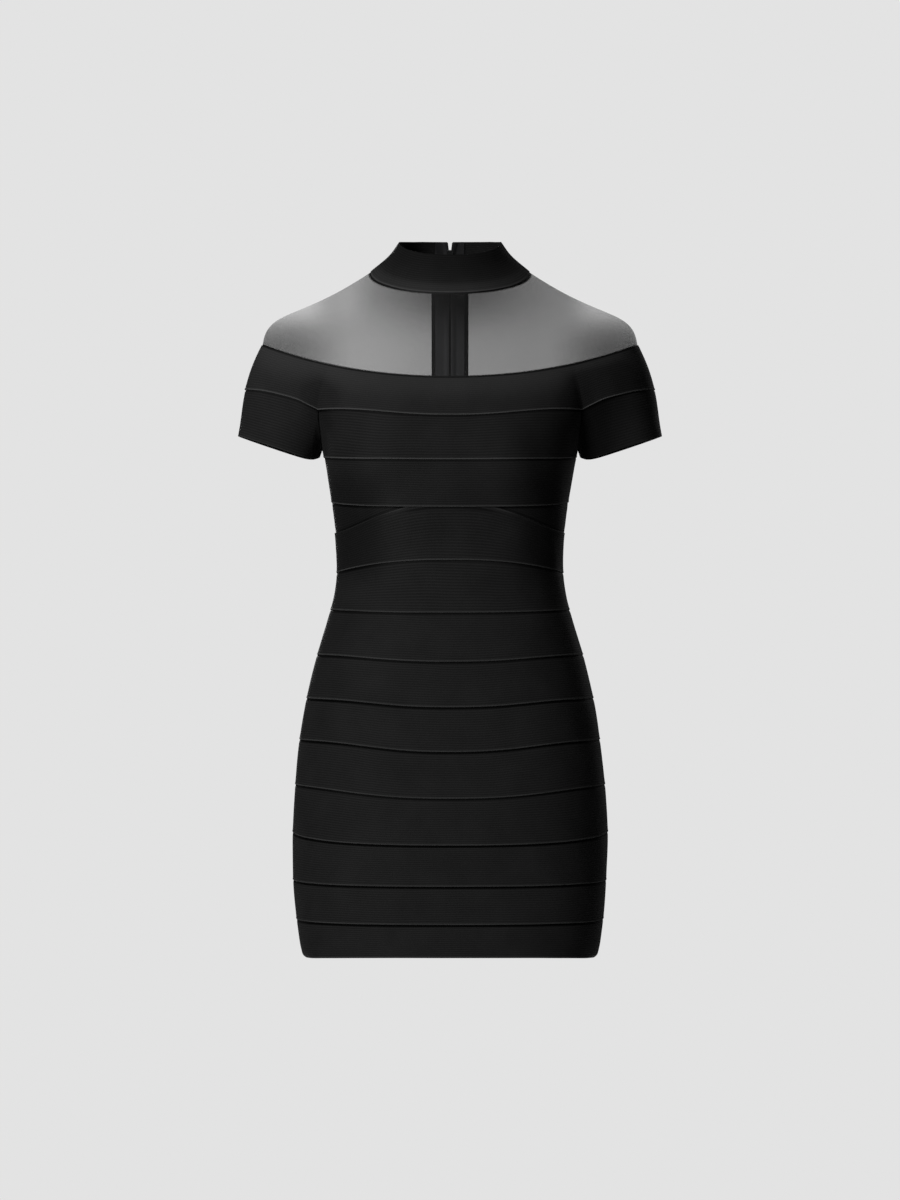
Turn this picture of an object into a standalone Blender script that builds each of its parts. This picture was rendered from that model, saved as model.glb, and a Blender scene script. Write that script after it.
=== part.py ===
"""Bandage-knit bodycon dress with a net yoke, a stand collar, short sleeves and a back zip.

Lengths in this file are millimetres; wall() and box_piece() turn them into metres. +X is the
wearer's left, the front faces -Y and +Z is up. The origin is the middle of the neck opening, at
the height of the collar's base on the shoulders. Every piece is a wall of cloth around a hollow:
its middle surface comes from the section tables, and its layer says how far in or out it lies.
"""
import math

import bmesh
import bpy
from mathutils import Matrix, Vector

METRE = 0.001
KNIT = 1.4            # wall of the bandage knit
NET = 1.0             # wall of the yoke's net
TAPE = 1.0            # wall of the zip tape
GAP = 0.35            # clearance between neighbouring pieces
LAP = 4.0             # how far an edge reaches under the edge that covers it
SETTLE = 8.0          # further length over which a tucked edge comes up to the band's own layer
RISE = 10.0           # length over which a band's lower edge lifts off its layer
BEAD = 0.35           # extra thickness of a band's lower edge
BEAD_ROUND = 0.9      # how far that edge rounds out below its last row
FOLD_ROUND = 0.7      # the same for a plain folded edge
LIFT = 1.05           # layer of an edge that lies over its neighbour
TUCK = -1.15          # layer of an edge that lies under its neighbour
NET_TUCK = -1.9       # layer of the net where it lies under knit
NET_LAYER = -0.9      # layer of the net elsewhere
OVER = KNIT + GAP     # from the middle of one knit layer to the middle of the next

# Distances from the centre back.
ZIP_EDGE = 3.2        # knit edge beside the zip
SEAM_EDGE = 0.2       # knit edge below the zip
PLACKET_WIDE = 21.5   # outer edge of the placket
PLACKET_MIDDLE = 12.0
NET_EDGE = 17.0       # where the net ends under the placket
NET_UNDER = (22.0, 34.0)   # the net lies behind the placket up to here, and level from here
TAPE_EDGE = 17.0      # outer edge of the zip tape
TAPE_MIDDLE = 9.0
TAPE_GAP = 0.9        # the tape's inner edge
TAPE_NOTCH = 1.6      # how much further the tapes part at the collar's top
TAPE_LAYER = -3.15
CHAIN_HALF = 2.7      # half the width of the closed coil
CHAIN_THICK = 2.6
CHAIN_LAYER = -1.05
CHAIN_TOP = 0.42      # where the closed coil ends, as a share of the collar's height
ZIP_STEPS = 15        # rows of the zip from the chest seam down
# The slider and its pull, in the slider's own axes: x across, y up the zip, z outwards.
SLIDER = dict(wide=7.2, long=11.0, plate=1.0, middle=1.0, outer=1.55, inner=-4.45, post=1.6,
              foot=1.4, foot_out=3.0, bridge_out=4.35)
PIVOT = dict(along=-2.6, out=2.95)   # the pull's crossbar
PULL = dict(tab=(6.0, 22.0, 1.1), tab_at=-14.6, arm_at=1.65)

SQUARE = 2.5          # how square the body's section is: 2 would be an ellipse
BUST = dict(out=6.0, x=70.0, z=-214.0, wide=34.0, high=34.0)

# Body sections: height, half width, depth to the front and to the back.
BODY = [
    dict(z=-145.0, half=169.0, front=104.5, back=97.5),
    dict(z=-165.0, half=160.5, front=111.0, back=100.0),
    dict(z=-190.0, half=149.5, front=116.0, back=101.0),
    dict(z=-213.0, half=143.6, front=117.0, back=99.0),
    dict(z=-240.0, half=138.8, front=114.0, back=95.5),
    dict(z=-272.0, half=133.6, front=106.0, back=90.0),
    dict(z=-302.0, half=130.7, front=98.0, back=86.0),
    dict(z=-344.0, half=129.0, front=92.0, back=83.5),
    dict(z=-371.0, half=132.3, front=93.0, back=86.0),
    dict(z=-399.0, half=139.5, front=97.0, back=91.5),
    dict(z=-440.0, half=152.0, front=104.0, back=102.0),
    dict(z=-481.0, half=162.0, front=109.0, back=112.0),
    dict(z=-523.0, half=169.5, front=113.0, back=119.5),
    dict(z=-578.0, half=175.8, front=115.5, back=124.0),
    dict(z=-620.0, half=178.8, front=116.5, back=124.0),
    dict(z=-660.0, half=179.6, front=116.5, back=122.0),
    dict(z=-715.0, half=177.3, front=115.0, back=118.0),
    dict(z=-765.0, half=171.5, front=113.0, back=115.0),
    dict(z=-790.0, half=165.5, front=111.5, back=113.5),
]

# Seams round the body: height at the side, front and back, and how sharply each end turns.
SEAMS = {
    "chest": dict(side=-160.8, front=-169.4, back=-163.0, turn=8.0),
    "bust": dict(side=-212.6, front=-219.0, back=-214.0, turn=0.8),
    "under_bust": dict(side=-263.9, front=-271.6, back=-266.0, turn=0.7),
    "wedge": dict(side=-299.1, front=-267.8, back=-299.5, turn=3.27),
    "waist": dict(side=-345.0, front=-331.0, back=-345.0, turn=2.0),
    "high_hip": dict(side=-387.3, front=-390.5, back=-389.0, turn=2.0),
    "hip_1": dict(side=-438.5, front=-445.3, back=-441.0, turn=5.0),
    "hip_2": dict(side=-488.0, front=-496.1, back=-492.0, turn=6.5),
    "hip_3": dict(side=-535.0, front=-545.9, back=-540.0, turn=6.2),
    "hip_4": dict(side=-586.4, front=-598.0, back=-590.0, turn=4.0),
    "skirt_1": dict(side=-640.1, front=-650.2, back=-644.0, turn=1.0),
    "skirt_2": dict(side=-695.5, front=-696.3, back=-695.5, turn=2.0),
    "skirt_3": dict(side=-739.8, front=-739.0, back=-740.0, turn=2.0),
    "hem": dict(side=-785.5, front=-776.0, back=-786.0, turn=0.8),
}

# Bands from bust to hem: name, seam above, seam below, rows between, edge at the centre back.
BANDS = [
    dict(name="band_03", above="bust", below="under_bust", rows=1, edge=ZIP_EDGE),
    dict(name="band_06", above="waist", below="high_hip", rows=1, edge=ZIP_EDGE),
    dict(name="band_07", above="high_hip", below="hip_1", rows=0, edge=ZIP_EDGE),
    dict(name="band_08", above="hip_1", below="hip_2", rows=0, edge=ZIP_EDGE),
    dict(name="band_09", above="hip_2", below="hip_3", rows=0, edge=ZIP_EDGE),
    dict(name="band_10", above="hip_3", below="hip_4", rows=0, edge=SEAM_EDGE),
    dict(name="band_11", above="hip_4", below="skirt_1", rows=0, edge=SEAM_EDGE),
    dict(name="band_12", above="skirt_1", below="skirt_2", rows=0, edge=SEAM_EDGE),
    dict(name="band_13", above="skirt_2", below="skirt_3", rows=0, edge=SEAM_EDGE),
    dict(name="band_14", above="skirt_3", below="hem", rows=0, edge=SEAM_EDGE),
]
ZIP_END = "hip_3"       # the seam where the zip ends
CHAIN_PAST = 6.0        # the coil ends this far above that seam
TAPE_PAST = -12.0       # and the tapes this far below it

# Angles of the body's columns, from the middle of the front or back to the side.
BODY_ANGLES = [0.0, 13.0, 26.0, 39.0, 52.0, 64.0, 70.0, 76.0, 82.0, 90.0]
CREASE = 64.0         # the column where the body, the sleeve and the neckline band meet
ARMHOLE_LOW = -203.0  # the armhole's lowest point
PLAIN_LAYERS = (0.0, 0.0, 0.0, 0.0, LIFT)
UNDERARM_LAYERS = (0.2, 0.5, 0.8, 1.0, LIFT)

# Layers of the under-bust wedge by column: it slips behind both neighbours towards its point.
WEDGE_TIP = 13.0
WEDGE_LAYERS = {
    13.0: (-3.3, -3.3, -3.3, -3.3),
    26.0: (-2.4, -2.2, -2.2, -2.4),
    39.0: (-1.4, -0.5, -0.9, -1.6),
    52.0: (-1.2, 0.0, -0.3, -1.3),
}
WEDGE_PLAIN = (TUCK, 0.0, 0.0, -1.15)
# Layer of the waist band's upper edge by column: under the bust band in the middle, over the
# wedge at the sides.
WAIST_EDGE = {0.0: -1.6, 13.0: -1.5, 26.0: -0.4, 39.0: 0.5}
WAIST_EDGE_PLAIN = 0.95

# Stations of the neckline band: width of the neckline, then the body's column below it or, over
# the arm, the place of the sleeve seam.
NECKLINE = dict(half=215.0, front=94.0, back=90.0, side_z=-84.2, front_z=-125.5,
                back_z=-121.0, square=2.1, turn=1.95)
CHEST_STATIONS = [
    dict(neck=0.0, angle=0.0),
    dict(neck=45.0, angle=13.0),
    dict(neck=77.0, angle=26.0),
    dict(neck=103.0, angle=39.0),
    dict(neck=123.0, angle=52.0),
    dict(neck=137.0, angle=CREASE),
]
ARM_STATIONS = [
    dict(neck=151.0, x=162.0, depth=58.5, z=-154.5, hem_angle=127.0),
    dict(neck=164.0, x=173.0, depth=58.5, z=-149.3, hem_angle=110.0),
    dict(neck=180.0, x=190.0, depth=54.0, z=-144.2, hem_angle=88.0),
    dict(neck=196.0, x=210.0, depth=42.0, z=-139.2, hem_angle=60.0),
    dict(neck=208.0, x=226.0, depth=24.0, z=-136.6, hem_angle=30.0),
    dict(neck=215.0, x=234.0, depth=0.0, z=-135.5, hem_angle=0.0),
]
BACK_ARM = 0.93       # the arm's depth behind, as a share of its depth in front
BAND_BULGE = 2.0      # how far the neckline band rounds out between its edges

# Sleeve hem: an oval in a plane that drops towards the body, with its inner end lifted.
HEM = dict(x=195.8, half=46.5, front=48.0, back=45.0, outer_z=-188.5, slope=0.33, lift=8.0)
CREASE_HEM_ANGLE = 143.0
ARMHOLE_HEM_ANGLES = {70.0: 152.0, 76.0: 161.0, 82.0: 170.0, 90.0: 180.0}

# Collar sections from its top edge to its base.
COLLAR = [
    dict(part=0.0, half=57.6, side_z=34.4, front=54.5, front_z=15.2, back=51.5, back_z=39.1),
    dict(part=0.5, half=70.0, side_z=17.8, front=62.0, front_z=-7.5, back=58.5, back_z=20.5),
    dict(part=1.0, half=91.0, side_z=0.0, front=72.0, front_z=-29.6, back=66.0, back_z=2.0),
]
COLLAR_SQUARE = 2.15
# The yoke rounds out over the shoulder: how far the two handles of its curve leave the straight
# line from collar to neckline, in x and z, at the shoulder and at the middle front.
SHOULDER = dict(upper_x=42.0, upper_z=-29.0, lower_x=35.5, lower_z=15.0, turn=3.0)
CHEST_ROUND = 3.0
SHOULDER_GAP = 0.2    # from the shoulder line to the net's edge on either side
SHOULDER_TURN = 0.1   # the same at the collar, in degrees

MATERIALS = {
    "knit": dict(color=(0.009, 0.009, 0.010), roughness=0.85, metallic=0.0),
    "net": dict(color=(0.030, 0.030, 0.032), roughness=0.80, metallic=0.0),
    "tape": dict(color=(0.013, 0.013, 0.014), roughness=0.80, metallic=0.0),
    "coil": dict(color=(0.011, 0.011, 0.012), roughness=0.45, metallic=0.0),
    "metal": dict(color=(0.020, 0.020, 0.022), roughness=0.35, metallic=1.0),
}


def clear_scene():
    for thing in list(bpy.data.objects):
        bpy.data.objects.remove(thing, do_unlink=True)


def material(name):
    found = bpy.data.materials.get(name)
    if found:
        return found
    made = bpy.data.materials.new(name)
    made.use_nodes = True
    shader = made.node_tree.nodes["Principled BSDF"]
    look = MATERIALS[name]
    shader.inputs["Base Color"].default_value = (*look["color"], 1.0)
    shader.inputs["Roughness"].default_value = look["roughness"]
    shader.inputs["Metallic"].default_value = look["metallic"]
    return made


def smooth(table, key, value, at):
    """A smooth curve through the table's points, read at one place."""
    rows = sorted(table, key=lambda row: row[key])
    at = min(max(at, rows[0][key]), rows[-1][key])
    last = len(rows) - 1
    i = max(k for k in range(last) if rows[k][key] <= at)

    def slope(k):
        low, high = rows[max(k - 1, 0)], rows[min(k + 1, last)]
        return (high[value] - low[value]) / (high[key] - low[key])

    low, high = rows[i], rows[i + 1]
    span = high[key] - low[key]
    u = (at - low[key]) / span
    return (
        low[value] * (2 * u**3 - 3 * u**2 + 1)
        + slope(i) * span * (u**3 - 2 * u**2 + u)
        + high[value] * (3 * u**2 - 2 * u**3)
        + slope(i + 1) * span * (u**3 - u**2)
    )


# ---- middle surfaces ----------------------------------------------------------------------


def oval(half, front, back, square, angle):
    """Point of a squared oval. Angle 0 is the middle front, 90 the wearer's left, 180 the back."""
    turn = math.radians(angle)
    across, along = math.sin(turn), math.cos(turn)
    power = 2 / square
    depth = front if along > 0 else back
    x = math.copysign(half * abs(across) ** power, across)
    y = -math.copysign(depth * abs(along) ** power, along)
    return x, y


def back_angle(half, square, x):
    """The angle at which a squared oval passes x near the centre back."""
    reach = math.degrees(math.asin(min(abs(x) / half, 1.0) ** (square / 2)))
    return math.copysign(180 - reach, x)


def body(angle, z):
    """Body surface. An angle may also be ('edge', x), a line beside the centre back."""
    half = smooth(BODY, "z", "half", z)
    if isinstance(angle, tuple):
        angle = back_angle(half, SQUARE, angle[1])
    x, y = oval(half, smooth(BODY, "z", "front", z), smooth(BODY, "z", "back", z), SQUARE, angle)
    if abs(angle) < 90:
        across = math.exp(-(((abs(x) - BUST["x"]) / BUST["wide"]) ** 2))
        y -= BUST["out"] * across * math.exp(-(((z - BUST["z"]) / BUST["high"]) ** 2))
    return Vector((x, y, z))


def seam(name, angle):
    """Height of a seam in one column."""
    row = SEAMS[name]
    turn = math.cos(math.radians(180.0 if isinstance(angle, tuple) else angle))
    end = row["front"] if turn > 0 else row["back"]
    return row["side"] + (end - row["side"]) * abs(turn) ** row["turn"]


def collar_surface(station, part):
    """Collar surface, from its top edge (0) to its base (1)."""
    row = {key: smooth(COLLAR, "part", key, part)
           for key in ("half", "side_z", "front", "front_z", "back", "back_z")}
    angle = station["turn"]
    if station["edge"]:
        angle = back_angle(row["half"], COLLAR_SQUARE, station["edge"])
    x, y = oval(row["half"], row["front"], row["back"], COLLAR_SQUARE, angle)
    front = abs(angle) < 90
    share = abs(y) / (row["front"] if front else row["back"])
    z = row["side_z"] + ((row["front_z"] if front else row["back_z"]) - row["side_z"]) * share
    return Vector((x, y, z))


def neckline(x, front):
    """Point of the neckline, on the wearer's left."""
    row = NECKLINE
    share = (1 - min(x / row["half"], 1.0) ** row["square"]) ** (1 / row["square"])
    depth, end = (row["front"], row["front_z"]) if front else (row["back"], row["back_z"])
    z = row["side_z"] + (end - row["side_z"]) * share ** row["turn"]
    return Vector((x, -depth * share if front else depth * share, z))


def neck_turn(x, front):
    """The collar's angle for a neckline point, on the wearer's left."""
    reach = math.degrees(math.asin(min(x / NECKLINE["half"], 1.0) ** (NECKLINE["square"] / 2)))
    return reach if front else 180 - reach


def mirrored(point):
    return Vector((-point.x, point.y, point.z))


def station(side, front, row):
    """One column of the pieces above the chest seam, as a dictionary."""
    if "angle" in row:
        angle = row["angle"] if front else 180 - row["angle"]
        low = body(angle, seam("chest", angle))
    else:
        depth = row["depth"] if front else -row["depth"] * BACK_ARM
        low = Vector((row["x"], -depth, row["z"]))
    high, turn = neckline(row["neck"], front), neck_turn(row["neck"], front)
    if side < 0:
        high, low, turn = mirrored(high), mirrored(low), -turn
    return dict(high=high, low=low, turn=turn, edge=0.0)


def edge_station(side, x):
    """The column beside the centre back, x from it."""
    high = neckline(x, False)
    low = body(("edge", x), seam("chest", 180.0))
    if side < 0:
        high, low = mirrored(high), mirrored(low)
    return dict(high=high, low=low, turn=0.0, edge=side * x)


def half_stations(side, front):
    """The stations of one quarter, from the middle to the outer arm."""
    return [station(side, front, row) for row in CHEST_STATIONS + ARM_STATIONS]


def ring_stations(edge):
    """All stations, from the centre back over the wearer's left, the front and the right."""
    left_back, left_front = half_stations(1, False), half_stations(1, True)
    right_back, right_front = half_stations(-1, False), half_stations(-1, True)
    return (
        [edge_station(1, edge)] + left_back[1:] + left_front[-2::-1]
        + right_front[1:] + right_back[-2:0:-1] + [edge_station(-1, edge)]
    )


def chest_surface(at, part):
    """Neckline band, from the neckline (0) to its lower edge (1)."""
    point = at["high"].lerp(at["low"], part)
    outward = Vector((at["low"].x, at["low"].y, 0.0)).normalized()
    return point + outward * BAND_BULGE * 4 * part * (1 - part)


def yoke_surface(at, part):
    """Net yoke, from the collar's base (0) to the neckline (1), on a curve with two handles."""
    start, end = collar_surface(at, 1.0), at["high"]
    reach = end - start
    side = math.copysign(1.0, end.x)
    shoulder = min(abs(end.x) / NECKLINE["half"], 1.0) ** SHOULDER["turn"]
    facing = math.copysign(CHEST_ROUND * (1 - shoulder), end.y)
    upper = start + reach / 3 + Vector((
        side * SHOULDER["upper_x"] * shoulder, facing, SHOULDER["upper_z"] * shoulder))
    lower = start + reach * 2 / 3 + Vector((
        side * SHOULDER["lower_x"] * shoulder, facing, SHOULDER["lower_z"] * shoulder))
    rest = 1 - part
    return (
        start * rest**3 + upper * 3 * rest**2 * part
        + lower * 3 * rest * part**2 + end * part**3
    )


# ---- walls ---------------------------------------------------------------------------------


def grid_normals(grid, closed):
    """Outward normals of a grid whose columns run clockwise from above and rows run down."""
    rows, columns = len(grid), len(grid[0])
    normals = []
    for r in range(rows):
        line = []
        for c in range(columns):
            before, after = (c - 1, c + 1) if closed else (max(c - 1, 0), min(c + 1, columns - 1))
            across = grid[r][after % columns] - grid[r][before % columns]
            down = grid[min(r + 1, rows - 1)][c] - grid[max(r - 1, 0)][c]
            line.append(across.cross(down).normalized())
        normals.append(line)
    return normals


def wall(name, look, grid, layer, outer, inner, closed=False, top_round=0.0, bottom_round=0.0,
         shoulder=()):
    """One piece of cloth: a closed wall on a grid of middle points.

    layer, outer and inner are functions of row and column: how far the wall's middle line is
    moved out, and how far its two faces lie from that line. The columns in shoulder end square
    to the shoulder line."""
    rows, columns = len(grid), len(grid[0])
    normals = grid_normals(grid, closed)
    for line in normals:
        for c in shoulder:
            line[c] = Vector((line[c].x, 0.0, line[c].z)).normalized()
    middle = [[grid[r][c] + normals[r][c] * layer(r, c) for c in range(columns)]
              for r in range(rows)]
    mesh = bmesh.new()
    loops = []
    for c in range(columns):
        out = [middle[r][c] + normals[r][c] * outer(r, c) for r in range(rows)]
        inn = [middle[r][c] - normals[r][c] * inner(r, c) for r in range(rows)]
        loop = list(out)
        if bottom_round:
            along = (middle[-1][c] - middle[-2][c]).normalized()
            loop.append((out[-1] + inn[-1]) / 2 + along * bottom_round)
        loop += inn[::-1]
        if top_round:
            along = (middle[0][c] - middle[1][c]).normalized()
            loop.append((out[0] + inn[0]) / 2 + along * top_round)
        loops.append([mesh.verts.new(point * METRE) for point in loop])
    size = len(loops[0])
    inside = range(rows + bool(bottom_round), size - bool(top_round))
    for c in range(columns if closed else columns - 1):
        here, there = loops[c], loops[(c + 1) % columns]
        wearers_right = here[0].co.x + there[0].co.x < 0
        for k in range(size):
            after = (k + 1) % size
            if (k in inside) == wearers_right:
                mesh.faces.new((here[k], there[k], there[after]))
                mesh.faces.new((here[k], there[after], here[after]))
            else:
                mesh.faces.new((here[k], there[k], here[after]))
                mesh.faces.new((there[k], there[after], here[after]))
    if not closed:
        for loop in (loops[0], loops[-1]):
            outs, inns = loop[:rows], loop[size - rows - bool(top_round):][:rows][::-1]
            for r in range(rows - 1):
                mesh.faces.new((outs[r], outs[r + 1], inns[r + 1], inns[r]))
            if bottom_round:
                mesh.faces.new((outs[-1], loop[rows], inns[-1]))
            if top_round:
                mesh.faces.new((outs[0], inns[0], loop[-1]))
    return finished(name, look, mesh)


def finished(name, look, mesh):
    bmesh.ops.recalc_face_normals(mesh, faces=mesh.faces)
    data = bpy.data.meshes.new(name)
    mesh.to_mesh(data)
    mesh.free()
    data.materials.append(material(look))
    data.shade_smooth()
    data.set_sharp_from_angle(angle=math.radians(40))
    piece = bpy.data.objects.new(name, data)
    bpy.context.scene.collection.objects.link(piece)
    return piece


def same(value):
    return lambda r, c: value


def by_row(values):
    return lambda r, c: values[r]


# ---- bands ---------------------------------------------------------------------------------


def body_columns(edge):
    """The body's columns as angles, from the centre back over the left, front and right."""
    back_left = [180 - a for a in BODY_ANGLES[1:]]
    front_left = BODY_ANGLES[-2::-1]
    left = back_left + front_left
    right = [-a for a in left[-2::-1]]
    return [("edge", edge)] + left + right + [("edge", -edge)]


def band_heights(top, bottom, between):
    """Heights of a band's rows: top edge, end of the tuck, middle rows, start of the lift, rim."""
    span = top - bottom
    head, foot = min(LAP + SETTLE, 0.4 * span), min(RISE, 0.4 * span)
    first, last = top - head, bottom + foot
    inside = [first + (last - first) * (i + 1) / (between + 1) for i in range(between)]
    return [top, first, *inside, last, bottom + min(BEAD_ROUND, 0.2 * span)]


def plain_band(row):
    """A band that lies under the band above it and over the one below."""
    columns = body_columns(row["edge"])
    heights = [band_heights(seam(row["above"], a) + LAP, seam(row["below"], a), row["rows"])
               for a in columns]
    count = len(heights[0])
    grid = [[body(a, heights[c][r]) for c, a in enumerate(columns)] for r in range(count)]
    hem = row["below"] == "hem"
    layers = [TUCK] + [0.0] * (count - 2) + [0.0 if hem else LIFT]
    outer = [KNIT / 2] * (count - 1) + [KNIT / 2 + (0.0 if hem else BEAD)]
    wall(row["name"], "knit", grid, by_row(layers), by_row(outer), same(KNIT / 2),
         bottom_round=BEAD_ROUND)


def off_middle(angle):
    """How far a column lies from the middle of the front or back, in degrees."""
    return 90 - abs(90 - abs(angle))


def armhole(angle):
    """Height of the bodice's edge under the arm, or None away from it."""
    off = off_middle(angle)
    if off <= CREASE:
        return None
    share = math.sin(math.pi / 2 * (off - CREASE) / (90 - CREASE))
    return SEAMS["chest"]["side"] + (ARMHOLE_LOW - SEAMS["chest"]["side"]) * share


def chest_station(angle):
    """The neckline band's station above one of the body's columns."""
    if isinstance(angle, tuple):
        return edge_station(math.copysign(1, angle[1]), abs(angle[1]))
    row = next(row for row in CHEST_STATIONS if row["angle"] == off_middle(angle))
    return station(math.copysign(1, angle), abs(angle) < 90, row)


def bust_band():
    """Band 2: tucked under the neckline band, and cut out under the arms."""
    grid = [[], [], [], [], []]
    layers = []
    for angle in body_columns(ZIP_EDGE):
        cut = None if isinstance(angle, tuple) else armhole(angle)
        top = seam("chest", angle) + LAP if cut is None else cut
        levels = band_heights(top, seam("bust", angle), 1)
        points = [body(angle, level) for level in levels]
        if cut is None:
            at = chest_station(angle)
            points[0] = chest_surface(at, 1 - LAP / (at["high"] - at["low"]).length)
        crease = not isinstance(angle, tuple) and off_middle(angle) == CREASE
        if cut is None:
            layers.append((TUCK - OVER * crease, 0.0, 0.0, 0.0, LIFT))
        else:
            layers.append(UNDERARM_LAYERS if levels[0] - levels[-1] < 25.0 else PLAIN_LAYERS)
        for r, point in enumerate(points):
            grid[r].append(point)
    wall("band_02", "knit", grid, lambda r, c: layers[c][r],
         by_row([KNIT / 2] * 4 + [KNIT / 2 + BEAD]), same(KNIT / 2), bottom_round=BEAD_ROUND)


def wedge(side):
    """Band 4, one for each side: from the zip round the side to a point at the front."""
    angles = [180 - a for a in BODY_ANGLES[1:]]
    angles += [a for a in BODY_ANGLES[-2::-1] if a >= WEDGE_TIP]
    columns = [("edge", ZIP_EDGE)] + angles
    grid = [[], [], [], []]
    layers = []
    for angle in columns:
        top, bottom = seam("under_bust", angle) + LAP, seam("wedge", angle) - LAP
        bottom = min(bottom, top - 10.0)
        levels = band_heights(top, bottom, 0)
        levels[-2] = bottom + min(14.0, 0.45 * (top - bottom))
        levels[-1] = bottom
        front = not isinstance(angle, tuple) and angle < 90
        layers.append(WEDGE_LAYERS.get(angle, WEDGE_PLAIN) if front else WEDGE_PLAIN)
        for r, level in enumerate(levels):
            grid[r].append(body(angle, level))
    name = "band_04_left"
    if side < 0:
        name = "band_04_right"
        grid = [[mirrored(point) for point in line[::-1]] for line in grid]
        layers = layers[::-1]
    wall(name, "knit", grid, lambda r, c: layers[c][r], same(KNIT / 2), same(KNIT / 2))


def waist_band():
    """Band 5: its upper edge lies over the wedges and, in the middle, under band 3."""
    columns = body_columns(ZIP_EDGE)
    grid = [[], [], [], [], []]
    edges = []
    for angle in columns:
        top, bottom = seam("wedge", angle), seam("waist", angle)
        levels = band_heights(top, bottom, 1)
        for r, level in enumerate(levels):
            grid[r].append(body(angle, level))
        plain = isinstance(angle, tuple)
        edges.append(WAIST_EDGE_PLAIN if plain else WAIST_EDGE.get(abs(angle), WAIST_EDGE_PLAIN))

    def layer(r, c):
        return edges[c] if r == 0 else (LIFT if r == 4 else 0.0)

    wall("band_05", "knit", grid, layer, by_row([KNIT / 2] * 4 + [KNIT / 2 + BEAD]),
         same(KNIT / 2), bottom_round=BEAD_ROUND, top_round=FOLD_ROUND)


def neckline_band():
    """Band 1: from the neckline down to the chest seam, and over both arms."""
    stations = ring_stations(ZIP_EDGE)
    grid = [[], [], [], [], []]
    for at in stations:
        span = (at["high"] - at["low"]).length
        for r, part in enumerate((0.0, 0.3, 0.6, 1 - RISE / span, 1 - BEAD_ROUND / span)):
            grid[r].append(chest_surface(at, part))
    wall("band_01", "knit", grid, by_row([0.0, 0.0, 0.0, 0.0, LIFT]),
         by_row([KNIT / 2] * 4 + [KNIT / 2 + BEAD]), same(KNIT / 2),
         bottom_round=BEAD_ROUND, top_round=FOLD_ROUND)


# ---- sleeves -------------------------------------------------------------------------------


def hem_point(angle, front):
    """Point of the left sleeve's hem. Angle 0 is the outer arm and 180 the inner one."""
    turn = math.radians(angle)
    x = HEM["x"] + HEM["half"] * math.cos(turn)
    y = -HEM["front"] * math.sin(turn) if front else HEM["back"] * math.sin(turn)
    drop = HEM["slope"] * (HEM["x"] + HEM["half"] - x)
    lift = HEM["lift"] * max(0.0, -math.cos(turn)) ** 6
    return Vector((x, y, HEM["outer_z"] - drop + lift))


def sleeve_columns(front):
    """Columns from the outer arm to the underarm: top point, hem point, kind of top edge."""
    columns = []
    for row in ARM_STATIONS[::-1]:
        columns.append(dict(at=station(1, front, row), hem=hem_point(row["hem_angle"], front)))
    crease = station(1, front, CHEST_STATIONS[-1])
    columns.append(dict(at=crease, hem=hem_point(CREASE_HEM_ANGLE, front)))
    for off, hem_angle in ARMHOLE_HEM_ANGLES.items():
        angle = off if front else 180 - off
        level = armhole(angle)
        point = body(angle, level)
        nearby = body(angle + 1.0, level) - body(angle - 1.0, level)
        outward = Vector((-nearby.y, nearby.x, 0.0)).normalized()
        if outward.x < 0:
            outward = -outward
        columns.append(dict(top=point + outward * OVER, hem=hem_point(hem_angle, front)))
    return columns


def sleeve(side):
    """The sleeve's lower band: under band 1 on the arm, over band 2's edge at the armhole."""
    front, back = sleeve_columns(True), sleeve_columns(False)
    columns = front + back[-2:0:-1]
    grid = [[], [], [], []]
    tucks = []
    for column in columns:
        at = column.get("at")
        top = at["low"] if at else column["top"]
        hem = column["hem"]
        span = (hem - top).length
        first, last = min(SETTLE, 0.3 * span) / span, 1 - FOLD_ROUND / span
        points = [top.lerp(hem, part) for part in (0.0, first, (first + last) / 2, last)]
        if at:
            points[0] = chest_surface(at, 1 - LAP / (at["high"] - at["low"]).length)
        tucks.append(TUCK if at else 0.0)
        for r, point in enumerate(points):
            grid[r].append(point)
    name = "sleeve_left"
    if side < 0:
        name = "sleeve_right"
        grid = [[mirrored(point) for point in line[::-1]] for line in grid]
        tucks = tucks[::-1]
    wall(name, "knit", grid, lambda r, c: tucks[c] if r == 0 else 0.0, same(KNIT / 2),
         same(KNIT / 2), closed=True, bottom_round=FOLD_ROUND)


# ---- collar, yoke and plackets ---------------------------------------------------------------


def collar():
    grid = [[collar_surface(at, part) for at in ring_stations(ZIP_EDGE)]
            for part in (0.015, 0.35, 0.7, 0.985)]
    wall("collar", "knit", grid, same(0.0), same(KNIT / 2), same(KNIT / 2),
         top_round=FOLD_ROUND, bottom_round=FOLD_ROUND)


def yoke(name, stations, shoulder):
    """A net panel: its upper edge lies under the collar and its lower edge under band 1.

    shoulder lists the columns that lie on the shoulder line."""
    parts = (0.0, 0.08, 0.22, 0.37, 0.52, 0.67, 0.83, 1.0)
    grid = [[] for _ in range(len(parts) + 2)]
    for at in stations:
        band = (at["high"] - at["low"]).length
        height = (collar_surface(at, 0.9) - collar_surface(at, 1.0)).length * 10
        points = [collar_surface(at, 1 - LAP / height)]
        points += [yoke_surface(at, part) for part in parts]
        points.append(chest_surface(at, LAP / band))
        for r, point in enumerate(points):
            grid[r].append(point)

    def layer(r, c):
        if r < 2 or r > len(grid) - 3:
            return NET_TUCK
        point = grid[r][c]
        if point.y < 0:
            return NET_LAYER
        behind, level = NET_UNDER
        beside = max(0.0, min(1.0, (level - abs(point.x)) / (level - behind)))
        return NET_LAYER + (NET_TUCK - NET_LAYER) * beside

    wall(name, "net", grid, layer, same(NET / 2), same(NET / 2), shoulder=shoulder)


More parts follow.
